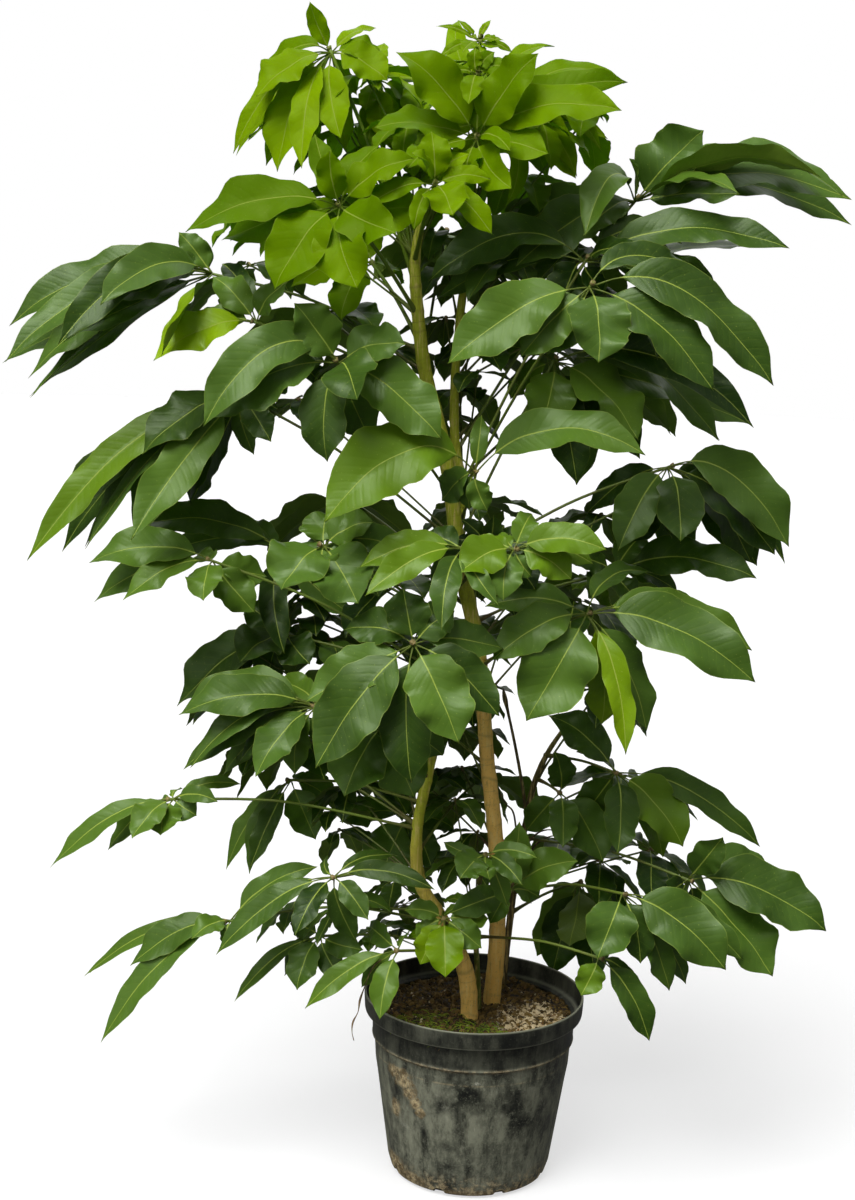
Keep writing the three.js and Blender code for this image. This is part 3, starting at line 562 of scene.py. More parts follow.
def read_leaflet(rings, tone):
    """A leaflet's guide, from the rings of vertices behind its tip. The hub is filled in later."""
    tip = rings[0][0].co.copy()
    sections = [section_of(ring) for ring in reversed(rings[1:5])]
    centres = [section[0] for section in sections]
    reach = (centres[1] - centres[2]).length + (centres[2] - centres[3]).length
    length = reach / (STATIONS[2] - STATIONS[0])
    line = [*centres, tip]
    ups = []
    raises = [(0.0, 0.0)]
    halves = []
    for (centre, up, edges), wide, ahead in zip(sections[1:], STATION_WIDTHS, line[2:]):
        lifted = centre_of(edges) - centre
        up = up if up.dot(lifted) > 0 else -up
        right = (ahead - centre).cross(up)
        edges.sort(key=lambda edge: (edge - centre).dot(right))
        ups.append(up)
        raises.append(tuple((edge - centre).dot(up) for edge in edges))
        halves.append((edges[0] - edges[1]).length / 2 / wide)
    first = sections[0][1]
    first = first if first.dot(ups[0]) > 0 else -first
    share = max(BASE_SHARE, BASE_LEAST / length)
    ups = [first, *ups, ups[-1]]
    raises.append((0.0, 0.0))
    return share, Leaflet(line, ups, raises, sum(halves) / len(halves), length, tone)


def hub_guess(share, line):
    """Where a leaflet's midrib would start, by the bend of its first points."""
    at = (share, STATIONS[0], STATIONS[1])
    weights = []
    for i, here in enumerate(at):
        others = [other for j, other in enumerate(at) if j != i]
        weights.append(math.prod(-other / (here - other) for other in others))
    return sum((point * weight for point, weight in zip(line, weights)), Vector())


def read_leaf(node, tone_of):
    """A leaf's hub, the line of its stalk and its leaflets, read from its node."""
    mesh = merged(node)
    used = set()
    found = []
    for vert in mesh.verts:
        if len(vert.link_edges) != 4 or not is_pointed(vert):
            continue
        rings = rings_from([vert], 4)
        sizes = [len(ring) for ring in rings]
        if sizes != [1, 4, 4, 4, 4] or spread(rings[4]) > FOOT_WIDEST or spread(rings[2]) < BLADE_NARROWEST:
            continue
        found.append(read_leaflet(rings, tone_of(node, len(found))))
        for ring in rings:
            used.update(ring)
    hub = centre_of([hub_guess(share, leaflet.line) for share, leaflet in found])
    rest = [vert.co.copy() for vert in mesh.verts if vert not in used]
    mesh.free()
    petiole = stalk_centres(rest, hub)
    way = (petiole[0] - (petiole[1] if len(petiole) > 1 else hub)).normalized()
    last = (hub - petiole[-1]).normalized()
    petiole = [petiole[0] + way * STALK_SUNK, *petiole, hub, hub + last * HUB_PAST]
    leaflets = [from_hub(leaflet, hub) for _, leaflet in found]
    return Leaf(node, hub, petiole, leaflets, tone_of(node, -1))


def from_hub(leaflet, hub):
    """A leaflet whose line starts at its hub."""
    line = [hub, *leaflet.line]
    ups = [leaflet.ups[0], *leaflet.ups]
    raises = [(0.0, 0.0), *leaflet.raises]
    return leaflet._replace(line=line, ups=ups, raises=raises)


def stalk_centres(places, hub):
    """The centres of a stalk's rings, from its foot to its hub."""
    places = sorted(places, key=lambda place: -(place - hub).length)
    groups = [[places[0]]]
    for place in places[1:]:
        far = (place - hub).length
        if far < KNOB_REACH:
            break
        if (groups[-1][-1] - hub).length - far > RING_STEP:
            groups.append([])
        groups[-1].append(place)
    return [centre_of(group) for group in groups]


def read_stem(node):
    """The centres and radii of a stem's rings, from its foot up."""
    mesh = merged(node)
    lowest = min(vert.co.z for vert in mesh.verts)
    foot = [vert for vert in mesh.verts if vert.co.z < lowest + LEVEL]
    line = []
    for ring in rings_from(foot, len(mesh.verts)):
        centre = centre_of([vert.co for vert in ring])
        radius = sum((vert.co - centre).length for vert in ring) / len(ring)
        line.append((centre, radius))
    mesh.free()
    return line


# Making pieces


def linked(name, mesh):
    piece = bpy.data.objects.new(name, mesh)
    bpy.context.scene.collection.objects.link(piece)
    return piece


def settled(name, shape):
    """The finished mesh of a shape in the making."""
    mesh = bpy.data.meshes.new(name)
    shape.to_mesh(mesh)
    shape.free()
    return mesh


def guide_mesh(name, chains, attributes):
    """A mesh of open chains of edges, with named values at its points."""
    points = [point for chain in chains for point in chain]
    edges = []
    start = 0
    for chain in chains:
        edges += [(start + i, start + i + 1) for i in range(len(chain) - 1)]
        start += len(chain)
    mesh = bpy.data.meshes.new(name)
    mesh.from_pydata(points, edges, [])
    for label, (kind, values) in attributes.items():
        layer = mesh.attributes.new(label, kind, "POINT")
        field = "vector" if kind == "FLOAT_VECTOR" else "value"
        for item, value in zip(layer.data, values):
            setattr(item, field, value)
    return mesh


def grown(name, mesh, tree, settings):
    """The plain mesh that a tree of Geometry Nodes grows from a guide."""
    guide = linked(name + "_guide", mesh)
    modifier = guide.modifiers.new("grow", "NODES")
    modifier.node_group = tree
    for item in tree.interface.items_tree:
        if item.in_out == "INPUT" and item.name in settings:
            modifier[item.identifier] = settings[item.name]
    graph = bpy.context.evaluated_depsgraph_get()
    made = bpy.data.meshes.new_from_object(
        guide.evaluated_get(graph), preserve_all_data_layers=True, depsgraph=graph
    )
    bpy.data.objects.remove(guide)
    made.name = name
    return linked(name, made)


def dressed(piece, slot, *nodes):
    """A finished piece of the plant: it rides on the root body and stands for its nodes."""
    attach(piece, BODY)
    if nodes:
        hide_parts(*nodes)
    return piece


SOCKET_KINDS = {int: "NodeSocketInt", float: "NodeSocketFloat", tuple: "NodeSocketVector"}


def new_tree(name, inputs):
    """A maker for a new tree of Geometry Nodes, and the tree's inputs."""
    tree = bpy.data.node_groups.new(name, "GeometryNodeTree")
    tree.interface.new_socket("Geometry", in_out="INPUT", socket_type="NodeSocketGeometry")
    tree.interface.new_socket("Geometry", in_out="OUTPUT", socket_type="NodeSocketGeometry")
    for label, default in inputs.items():
        kind = SOCKET_KINDS.get(type(default), "NodeSocketMaterial")
        socket = tree.interface.new_socket(label, in_out="INPUT", socket_type=kind)
        if default is not None:
            socket.default_value = default
    maker = Maker(tree)
    given = {}
    for socket in maker.node("NodeGroupInput").outputs:
        wrap = {"VALUE": Value, "INT": Value, "VECTOR": Arrow}.get(socket.type)
        given[socket.name] = wrap(maker, socket) if wrap else socket
    return maker, given


def smooth_curves(maker, edges):
    """Chains of edges as smooth curves."""
    curve = maker.geometry("MeshToCurve", {"Mesh": edges})
    curve = maker.geometry("CurveSplineType", {"Curve": curve}, spline_type="CATMULL_ROM")
    return maker.geometry("SetSplineResolution", {"Geometry": curve, "Resolution": 12})


def tubes_on(maker, curves, around, along):
    """A plain tube for every curve, each point knowing its curve's number, still to be shaped."""
    count = maker.geometry("AttributeDomainSize", {"Geometry": curves}, "Spline Count", component="CURVE")
    points = maker.geometry("Points", {"Count": count})
    sizes = {"Vertices": around, "Side Segments": along, "Radius": 1.0, "Depth": 1.0}
    tube = maker.geometry("MeshCylinder", sizes, fill_type="TRIANGLE_FAN")
    placed = maker.geometry("InstanceOnPoints", {"Points": points, "Instance": tube})
    number = maker.value("GeometryNodeInputIndex")
    numbered = stored(maker, placed, "curve", number, "INT", "INSTANCE")
    return maker.geometry("RealizeInstances", {"Geometry": numbered})


def stored(maker, geometry, label, value, kind="FLOAT_VECTOR", domain="POINT"):
    """Geometry with a named attribute."""
    inputs = {"Geometry": geometry, "Name": label, "Value": value}
    return maker.geometry("StoreNamedAttribute", inputs, data_type=kind, domain=domain)


class Sweep:
    """Plain tubes along chains of edges, and what each of their points reads from its own curve."""

    def __init__(self, maker, edges, around, along, eased=False):
        curves = smooth_curves(maker, edges)
        self.maker = maker
        self.tubes = tubes_on(maker, curves, around, along)
        self.cosine, self.sine, height = maker.arrow("GeometryNodeInputPosition").parts()
        self.factor = height + 0.5
        if eased:
            self.factor = 0.5 - (self.factor * math.pi).cosine() * 0.5
        self.inputs = {"Curves": curves, "Factor": self.factor, "Curve Index": maker.named("curve", "INT")}
        self.centre = self.read("", "Position")
        tangent = self.read("", "Tangent")
        self.right = tangent.cross(self.read("up")).unit()
        self.up = self.right.cross(tangent).unit()

    def read(self, label, output="Value"):
        """A named value of the curve, or its place or direction."""
        inputs = dict(self.inputs)
        if label:
            inputs["Value"] = self.maker.named(label)
        settings = {"mode": "FACTOR", "data_type": "FLOAT_VECTOR"}
        return self.maker.arrow("GeometryNodeSampleCurve", settings, inputs, output)

    def keep(self, label, value, kind="FLOAT_VECTOR", domain="POINT"):
        """Stores a value on the tubes."""
        self.tubes = stored(self.maker, self.tubes, label, value, kind, domain)

    def moved(self, point):
        """The tubes with their points at their places."""
        return self.maker.geometry("SetPosition", {"Geometry": self.tubes, "Position": point})


# A leaflet's half width at places along it
BLADE_OUTLINE = [
    (0.0, 0.0), (0.13, 0.0), (0.19, 0.32), (0.3, 0.8), (0.44, 1.0), (0.58, 1.03),
    (0.72, 0.9), (0.83, 0.64), (0.91, 0.33), (0.955, 0.13), (1.0, 0.0),
]


def leaf_tree():
    """Grows a leaf: each stalk chain becomes a stalk with its hub, and each other chain a leaflet."""
    maker, given = new_tree("Umbrella leaf", {
        "Around": 16,
        "Along": 27,
        "Stalk Sides": 8,
        "Stalk Steps": 24,
        "Stalklet Share": 0.13,
        "Stalklet Radius": 1.2 * MM,
        "Blade Thickness": 1.0 * MM,
        "Margin Wave": 0.05,
        "Midrib Wave": 0.05,
        "Outline Wave": 0.05,
        "Unevenness": 5 * MM,
        "Twist": 0.35,
        "Stalk Radius": 1.9 * MM,
        "Stalk Foot": 4.2 * MM,
        "Hub Radius": 4.6 * MM,
        "Blade Material": None,
        "Stalk Material": None,
    })
    is_stalk = maker.named("stalk", "BOOLEAN")
    inputs = {"Geometry": given["Geometry"], "Selection": is_stalk}
    chains = maker.node("GeometryNodeSeparateGeometry", {"domain": "POINT"}, inputs).outputs
    blades = shaped_blades(maker, given, chains["Inverted"])
    stalks = shaped_stalks(maker, given, chains["Selection"])
    both = maker.node("GeometryNodeJoinGeometry")
    for part in (stalks, blades):
        maker.tree.links.new(part, both.inputs[0])
    finish(maker, smoothed(maker, both.outputs[0]), given["Blade Material"], given["Stalk Material"])
    return maker.tree


def smoothed(maker, geometry):
    return maker.geometry("SetShadeSmooth", {"Geometry": geometry})


def finish(maker, geometry, material, stalk_material=None):
    """One real mesh, its material or materials, and the tree's output."""
    real = maker.geometry("RealizeInstances", {"Geometry": geometry})
    faced = maker.geometry("SetMaterial", {"Geometry": real, "Material": material})
    if stalk_material:
        on_stalk = maker.named("stalk", "BOOLEAN")
        inputs = {"Geometry": faced, "Material": stalk_material, "Selection": on_stalk}
        faced = maker.geometry("SetMaterial", inputs)
    maker.node("NodeGroupOutput", {}, {"Geometry": faced})


def shaped_blades(maker, given, edges):
    """Leaflets along chains of edges: each a thin stalklet that widens into a bowed and wavy blade."""
    sweep = Sweep(maker, edges, given["Around"], given["Along"])
    sine = sweep.sine
    factor = sweep.factor
    turn = sweep.cosine * -1
    left_raise, right_raise, half = sweep.read("form").parts()
    tone, seed, length = sweep.read("look").parts()
    share = turn * turn.size() ** 0.75
    side = turn.over(0.0)

    def waves(number, more, start, lean):
        """Waves along a blade. Their number and start change with its seed and its side."""
        return (factor * (number + seed * more) + seed * start + side * lean).sine()

    # The outline
    outline = maker.curve(BLADE_OUTLINE, factor)
    stalk_end = given["Stalklet Share"]
    blade = factor.rise(stalk_end - 0.02, stalk_end + 0.06)
    ending = factor.rise(0.9, 1.0)
    thin = given["Stalklet Radius"] * (1.15 - ending) * (1 - factor.rise(0.0, stalk_end) * 0.25)
    open_part = factor.rise(stalk_end + 0.08, stalk_end + 0.25) * (1 - factor.rise(0.86, 0.98))
    scallops = waves(15.0, 9, 57, 3.7) + waves(32.0, 12, 23, 1.9) * 0.5
    reach = (outline * half * (1 + scallops * open_part * given["Outline Wave"])).most(thin)

    # How far each point lies above or below the midrib's surface
    lift = left_raise + (right_raise - left_raise) * side
    bow = share.size() * 1.35 - share ** 2 * 0.35
    free = factor.rise(0.2, 0.5)
    frills = waves(12.0, 9, 40, 2.1) + waves(28.0, 11, 31, 4.3) * share ** 2 * 0.5
    ripple = frills * given["Margin Wave"] * half * share ** 2 * outline * free
    sway = (factor * (8.0 + seed * 5) + seed * 19).sine() * open_part * half * given["Midrib Wave"] * free
    deep = given["Blade Thickness"] * 0.5 * (1.1 - ending)
    ridge = (1 - share.size() * 6).most(0.0) * (1 - factor) * 1.6 * MM * sine.below(0.0)
    bumps = maker.noise(sweep.centre + sweep.right * (reach * share), 17.0) - 0.5
    swells = bumps * given["Unevenness"] * share.size().least(1.0)
    flat = lift * bow + ripple + sway + swells + sine * (deep + ridge)
    across = reach * (turn + (share - turn) * blade)
    lifted = sine * thin * (1 - blade) + flat * blade

    sweep.keep("blade", maker.join(across, factor * length, sine))
    sweep.keep("place", maker.join(share, factor, tone))
    sweep.keep("seed", seed, "FLOAT")
    sweep.keep("sharp_edge", turn.size().over(0.999) * factor.over(stalk_end), "BOOLEAN", "EDGE")
    roll = (seed - 0.5) * given["Twist"] * factor ** 2
    sideways = across * roll.cosine() - lifted * roll.sine()
    upwards = across * roll.sine() + lifted * roll.cosine()
    shaped = sweep.moved(sweep.centre + sweep.right * sideways + sweep.up * upwards)
    return maker.geometry("Triangulate", {"Mesh": shaped}, quad_method="SHORTEST_DIAGONAL")


def shaped_stalks(maker, given, edges):
    """Leaf stalks along chains of edges: each widens at its foot and ends in a round hub."""
    sweep = Sweep(maker, edges, given["Stalk Sides"], given["Stalk Steps"], eased=True)
    thickness = sweep.read("form").parts()[0]
    tone, _, length = sweep.read("look").parts()
    from_foot = sweep.factor * length
    to_end = (1 - sweep.factor) * length
    slim = given["Stalk Radius"] * thickness
    foot = (given["Stalk Foot"] * thickness - slim) * from_foot.bell(22 * MM)
    hub = given["Hub Radius"] * thickness
    ball = (1 - ((to_end - hub) / hub) ** 2).root() * hub * to_end.below(hub * 2)
    girth = ((slim + foot) * to_end.rise(0.0, hub)).most(ball).most(0.3 * MM)
    sweep.keep("stalk_at", maker.join(from_foot, to_end, tone))
    sweep.keep("stalk", True, "BOOLEAN", "FACE")
    out = sweep.right * (sweep.cosine * -1 * girth)
    return sweep.moved(sweep.centre + out + sweep.up * (sweep.sine * girth))


def stem_tree():
    """Grows a woody stem along each chain, with leaf scars and a rough skin."""
    maker, given = new_tree("Umbrella stem", {
        "Around": 28,
        "Along": 240,
        "Scar Spacing": 34 * MM,
        "Scar Height": 0.9 * MM,
        "Roughness": 0.7 * MM,
        "Material": None,
    })
    sweep = Sweep(maker, given["Geometry"], given["Around"], given["Along"])
    radius, seed, length = sweep.read("form").parts()
    way = sweep.right * (sweep.cosine * -1) + sweep.up * sweep.sine
    skin = sweep.centre + way * radius
    wander = maker.noise(skin, 18.0) * 1.4
    phase = (sweep.factor * length / given["Scar Spacing"] + wander + seed * 7).fraction() - 0.5
    ring = phase.bell(0.13) * given["Scar Height"] * (radius / STOUT_RADIUS).least(1.0)
    rough = (maker.noise(skin, 90.0, 3.0) - 0.5) * given["Roughness"]
    swell = (maker.noise(skin, 22.0) - 0.5) * radius * 0.16
    closing = 1 - (sweep.factor - 0.992).most(0.0) * 90
    girth = (radius + ring + rough + swell) * closing.most(0.12)
    sweep.keep("ring", phase, "FLOAT")
    finish(maker, smoothed(maker, sweep.moved(sweep.centre + way * girth)), given["Material"])
    return maker.tree


# A little more than a full turn
FULL_TURN = 6.3


def strewn(maker, given, wander, gather, piece, turns, scale):
    """Strews copies of a piece over a surface, close together round a centre, each with its own shade."""
    place = maker.arrow("GeometryNodeInputPosition")
    far = (place - given["Centre"]).length() / given["Reach"]
    near = 1 - (far + wander - gather).rise(1.0 - gather, 1.0)
    inputs = {"Mesh": given["Geometry"], "Density": given["Density"] * near, "Seed": given["Seed"]}
    points = maker.geometry("DistributePointsOnFaces", inputs)
    spin = maker.node("FunctionNodeEulerToRotation", {}, {"Euler": turns}).outputs[0]
    inputs = {"Points": points, "Instance": piece, "Rotation": spin, "Scale": scale}
    placed = maker.geometry("InstanceOnPoints", inputs)
    shade = maker.drawn(0.0, 1.0, given["Seed"] + 2)
    finish(maker, stored(maker, placed, "shade", shade, "FLOAT", "INSTANCE"), given["Material"])
    return maker.tree


def scatter_tree():
    """Strews crumbs of one kind over a surface, round a centre."""
    maker, given = new_tree("Soil crumbs", {
        "Density": 10000.0,
        "Centre": (0.0, 0.0, 0.25),
        "Reach": 1.0,
        "Seed": 1,
        "Smallest": 1.0 * MM,
        "Largest": 4.0 * MM,
        "Shape": (1.0, 1.0, 0.7),
        "Ragged": 0.5,
        "Fineness": 1,
        "Material": None,
    })
    place = maker.arrow("GeometryNodeInputPosition")
    ball = maker.geometry("MeshIcoSphere", {"Radius": 1.0, "Subdivisions": given["Fineness"]})
    dent = (maker.noise(place, 1.3) - 0.5) * given["Ragged"] * 2 + 1
    crumb = maker.geometry("SetPosition", {"Geometry": ball, "Position": place * dent})
    seed = given["Seed"]
    turns = maker.drawn((0, 0, 0), (FULL_TURN, FULL_TURN, FULL_TURN), seed, "FLOAT_VECTOR")
    larger = (given["Largest"] - given["Smallest"]) * maker.drawn(0.0, 1.0, seed + 1) ** 2
    scale = given["Shape"] * (given["Smallest"] + larger)
    return strewn(maker, given, maker.noise(place, 45.0) * 0.9, 0.45, crumb, turns, scale)


def thread_tree():
    """Lays thin arching threads over a surface, round a centre."""
    maker, given = new_tree("Moss threads", {
        "Density": 10000.0,
        "Centre": (0.0, 0.0, 0.25),
        "Reach": 1.0,
        "Seed": 1,
        "Length": 20.0 * MM,
        "Arch": 5.0 * MM,
        "Thickness": 0.4 * MM,
        "Tilt": 0.3,
        "Material": None,
    })
    reach = given["Length"]
    arc = maker.geometry("CurveQuadraticBezier", {
        "Resolution": 6,
        "Start": maker.join(reach * -0.5, 0.0, given["Arch"] * -0.25),
        "Middle": maker.join(0.0, reach * 0.15, given["Arch"] * 1.6),
        "End": maker.join(reach * 0.5, 0.0, given["Arch"] * -0.1),
    })
    ring = maker.geometry("CurvePrimitiveCircle", {"Resolution": 4, "Radius": given["Thickness"]})
    tube = maker.geometry("CurveToMesh", {"Curve": arc, "Profile Curve": ring, "Fill Caps": True})
    seed = given["Seed"]
    tilt = given["Tilt"]
    least = maker.join(tilt * -1, tilt * -1, 0.0)
    turns = maker.drawn(least, maker.join(tilt, tilt, FULL_TURN), seed, "FLOAT_VECTOR")
    size = maker.drawn(0.45, 1.25, seed + 1)
    wander = maker.noise(maker.arrow("GeometryNodeInputPosition"), 40.0)
    scale = maker.join(size, size, size)
    return strewn(maker, given, wander, 0.5, smoothed(maker, tube), turns, scale)


# Materials


def new_material(name):
    """An empty material and its maker."""
    material = bpy.data.materials.new(name)
    material.use_nodes = True
    material.node_tree.nodes.clear()
    return material, Maker(material.node_tree)


def shown(maker, material, surface):
    """Gives a material its surface."""
    maker.node("ShaderNodeOutputMaterial", {}, {"Surface": surface})
    return material


def coat(maker, body, rough, bumps, gloss=0.5, gloss_tint=(1.0, 1.0, 1.0)):
    """A surface with its colour, its roughness, its bumps' pattern, depth and strength, and its shine."""
    bump = maker.node("ShaderNodeBump", {}, dict(zip(("Height", "Distance", "Strength"), bumps)))
    return maker.node("ShaderNodeBsdfPrincipled", {}, {
        "Base Color": body,
        "Roughness": rough,
        "Normal": bump.outputs[0],
        "Specular IOR Level": gloss,
        "Specular Tint": full(gloss_tint),
    }).outputs[0]


# How far apart a blade's side veins are, and how wide its midrib is and how much narrower at its tip
VEIN_SPACING = 14.5 * MM
RIB_WIDTH = 1.5 * MM
RIB_NARROWING = 1.1 * MM


def blade_material(name, settings, through, gloss, gloss_tint):
    """A leaflet's skin: midrib, side veins, quilting, a pale margin, fine specks and a paler underside."""
    material, maker = new_material(name)
    across, along, face = maker.attribute("blade").parts()
    share, factor, tone = maker.attribute("place").parts()
    seed = maker.single("seed")
    here = maker.spot()
    cloudy = maker.noise(here, 16.0, 3.0)
    mottle = maker.noise(here, 90.0, 6.0, 0.7)
    young = (tone + (cloudy - 0.5) * 0.22 + (seed - 0.5) * 0.1).most(0.0)
    body = maker.ramp([
        (0.08, settings.old_colour), (0.32, settings.grown_colour),
        (0.75, settings.young_colour), (1.0, settings.newest_colour),
    ], young)
    under = face.below(0.0)
    slope = across.size() * 0.75 + (share ** 2) * 4 * MM
    phase = (along - slope) / VEIN_SPACING + share.over(0.0) * 0.5 + seed + cloudy * 1.2
    from_vein = (phase.fraction() - 0.5).size()
    vein = 1 - from_vein.rise(0.0, 0.07)
    speck = 1 - maker.grains(here, 130.0).rise(0.07, 0.13)
    rib_width = RIB_WIDTH - factor * RIB_NARROWING
    rib = 1 - across.size().rise(rib_width * 0.55, rib_width)
    margin = share.size().rise(0.965, 0.985)
    stalklet = 1 - factor.rise(0.125, 0.165)
    body = maker.layered(body, [
        (under * (0.65 - tone * 0.35), settings.under_colour),
        (vein * (1 - share.size() ** 2) * 0.22, settings.vein_colour),
        ((mottle - 0.5).most(0.0) * 0.6, settings.vein_colour),
        (speck * 0.35, settings.rib_colour),
        (rib * 0.85, settings.rib_colour),
        (margin * 0.32, settings.rib_colour),
        (stalklet, settings.stalk_colour),
    ])
    quilt = (from_vein * 3.2).rise(0.0, 1.0) * (1 - share.size() ** 4)
    bumps = (quilt * 0.7 + mottle * 0.35 - rib, 0.8 * MM, 0.28)
    skin = coat(maker, body, 0.29 + mottle * 0.2 + under * 0.2, bumps, gloss, gloss_tint)
    glow = maker.node("ShaderNodeBsdfTranslucent", {}, {"Color": full(settings.through_colour)})
    mixed = maker.node("ShaderNodeMixShader", {}, {0: through, 1: skin, 2: glow.outputs[0]})
    return shown(maker, material, mixed.outputs[0])


def stalk_material(name, settings):
    """A leaf stalk: green-brown, browner towards its foot, with a tan hub."""
    material, maker = new_material(name)
    from_foot, to_end, tone = maker.attribute("stalk_at").parts()
    here = maker.spot()
    streak = maker.noise(here.stretched((1.0, 1.0, 0.25)), 420.0, 2.0)
    patch = maker.noise(here, 30.0)
    brown = (1 - from_foot.rise(0.0, 0.09)) * 0.7 + patch.rise(0.45, 0.75) * 0.5
    hub = 1 - to_end.rise(7 * MM, 14 * MM)
    body = maker.layered(settings.stalk_colour, [
        (tone, settings.young_colour),
        (brown.least(1.0) * (1 - tone * 0.6), settings.stalk_foot_colour),
        (hub * (0.75 - tone * 0.55), settings.hub_colour),
        (streak.rise(0.5, 0.8) * 0.35, settings.vein_colour),
    ])
    return shown(maker, material, coat(maker, body, 0.42 + streak * 0.2, (streak, 0.3 * MM, 0.5)))


def bark_material(name, low_colour, high_colour, change, settings):
    """Bark that turns from its low colour to its high one about a height, with scar rings and pores."""
    material, maker = new_material(name)
    here = maker.spot()
    height = here.parts()[2]
    cloudy = maker.noise(here, 14.0, 3.0)
    fibres = maker.noise(here.stretched((1.0, 1.0, 0.12)), 260.0, 3.0)
    rough = maker.noise(here, 190.0, 4.0, 0.7)
    green = (height + (cloudy - 0.5) * 0.28).rise(change - 0.12, change + 0.14)
    scar = maker.single("ring").size().bell(0.08) * cloudy.rise(0.35, 0.6)
    pore = 1 - maker.grains(here.stretched((1.0, 1.0, 0.6)), 260.0).rise(0.12, 0.2)
    body = maker.layered(low_colour, [
        (green, high_colour),
        (rough.rise(0.54, 0.72) * 0.25, settings.dark_bark_colour),
        (fibres.rise(0.48, 0.72) * 0.5, settings.pale_bark_colour),
        ((1 - fibres.rise(0.28, 0.43)) * 0.35, settings.dark_bark_colour),
        (scar * 0.3, settings.dark_bark_colour),
        (pore * 0.3, settings.dark_bark_colour),
    ])
    bumps = (fibres * 0.8 + pore * 0.5 + rough * 0.7 - scar * 0.3, 0.9 * MM, 0.8)
    return shown(maker, material, coat(maker, body, 0.62 + fibres * 0.25 - green * 0.15, bumps))


def patch_on(here, centre, reach, wander):
    """A ragged patch round a place on the pot."""
    far = (here - centre).stretched(tuple(1 / side for side in reach)).length()
    return 1 - (far + (wander - 0.5) * 2.6).rise(0.55, 0.95)


# Patches of dry mud on the pot and one of chalk: place and reach, in metres
MUD_PATCHES = [
    ((-0.113, -0.1, 0.19), (0.026, 0.04, 0.014)),
    ((-0.104, -0.108, 0.178), (0.02, 0.04, 0.015)),
    ((-0.095, -0.115, 0.163), (0.015, 0.04, 0.016)),
    ((-0.086, -0.12, 0.149), (0.012, 0.04, 0.014)),
    ((-0.078, -0.125, 0.136), (0.01, 0.04, 0.012)),
    ((-0.117, -0.095, 0.125), (0.012, 0.04, 0.022)),
    ((-0.085, -0.09, 0.012), (0.036, 0.04, 0.018)),
    ((-0.11, -0.05, 0.02), (0.03, 0.04, 0.03)),
    ((0.0, -0.123, 0.004), (0.06, 0.04, 0.012)),
    ((0.06, -0.11, 0.004), (0.03, 0.04, 0.01)),
]
CHALK_PATCH = ((0.004, -0.153, 0.198), (0.009, 0.03, 0.004))


def plastic_material(settings):
    """Worn black plastic with a grey-green bloom in streaks, scuffs and patches of dry mud, and painted
    highlights along the rim's edges.
    """
    material, maker = new_material("pot_plastic")
    here = maker.spot()
    height = here.parts()[2]
    streaks = maker.noise(here.stretched((1.0, 1.0, 0.14)), 74.0, 7.0, 0.7)
    cloudy = maker.noise(here, 13.0, 5.0, 0.62)
    fine = maker.noise(here, 340.0, 3.0)
    rough = maker.noise(here, 95.0, 4.0, 0.7)
    grime = maker.noise(here.stretched((1.0, 1.0, 0.45)), 34.0, 8.0, 0.72)
    scratch = maker.noise(here.stretched((1.0, 1.0, 0.03)), 330.0, 1.0).rise(0.68, 0.76)
    wall = 1 - height.rise(POT_COLLAR_LOW - 2 * MM, POT_COLLAR_LOW + 8 * MM)
    bloom = (streaks.rise(0.3, 0.66) * 0.5 + grime.rise(0.4, 0.6) * 0.6) * cloudy.rise(0.28, 0.56)
    bloom = (bloom * (0.34 + wall * 0.66)).least(1.0)
    # Painted highlights: a pale band along the rim's top edge and a fainter one along its lower edge, where
    # the rounded edges catch the light
    rim = (height - POT_HEIGHT).bell(1.6 * MM)
    painted_rim_highlights = rim + (height - POT_RIM_LOW - 1 * MM).bell(1.3 * MM) * 0.7
    step = (height - POT_STEP_HEIGHT).bell(1.2 * MM) * grime.rise(0.42, 0.6)
    low = (1 - height.rise(0.0, 46 * MM)) * rough.rise(0.42, 0.58)
    ridge = (height - POT_COLLAR_LOW).bell(2.6 * MM) * rough.rise(0.36, 0.5)
    mud = low.most(ridge * 0.7)
    wander = rough * 0.5 + grime * 0.3 + fine * 0.2
    for place, reach in MUD_PATCHES:
        mud = mud.most(patch_on(here, place, reach, wander))
    mud = mud * (0.5 + fine.rise(0.38, 0.56) * 0.5)
    chalk = patch_on(here, *CHALK_PATCH, rough) * fine.rise(0.4, 0.55)
    body = maker.layered(settings.plastic, [
        (bloom * 0.85, settings.bloom),
        (rough.rise(0.54, 0.68) * wall * 0.35, settings.bloom),
        (grime.rise(0.56, 0.7) * rough.rise(0.44, 0.6) * wall * 0.4, settings.chalk),
        (scratch * wall * cloudy.rise(0.45, 0.6) * 0.4, settings.chalk),
        # The bloom colour laid along the rim's edges here is a painted highlight
        ((painted_rim_highlights * 0.6).least(1.0), settings.bloom),
        (step * 0.3, settings.mud),
        ((mud * 0.9).least(1.0), maker.blend(rough.rise(0.4, 0.62), settings.damp_mud, settings.mud)),
        (chalk * 0.8, settings.chalk),
        (fine.rise(0.58, 0.72) * (0.12 + wall * 0.25), settings.bloom),
    ])
    worn = (0.34 + bloom * 0.3 + mud * 0.4 + rough * 0.15).least(0.95)
    bumps = (fine * 0.25 + rough * 0.4 + mud * 1.6, 0.7 * MM, 0.6)
    return shown(maker, material, coat(maker, body, worn, bumps, 0.28))


def crumb_material(name, dark, light):
    """Loose matter, each crumb between two shades."""
    material, maker = new_material(name)
    grain = maker.noise(maker.spot(), 700.0, 2.0)
    factor = (maker.single("shade") * 0.75 + (grain - 0.5) * 0.8 + 0.12).most(0.0).least(1.0)
    rough = (0.9 - grain * 0.15).least(1.0)
    crumbly = coat(maker, maker.blend(factor, dark, light), rough, (grain, 0.5 * MM, 0.8), 0.3)
    return shown(maker, material, crumbly)


# Where pale dust of the perlite lies on the compost
DUST_CENTRE = (0.086, -0.045, 0.255)
DUST_REACH = 0.07


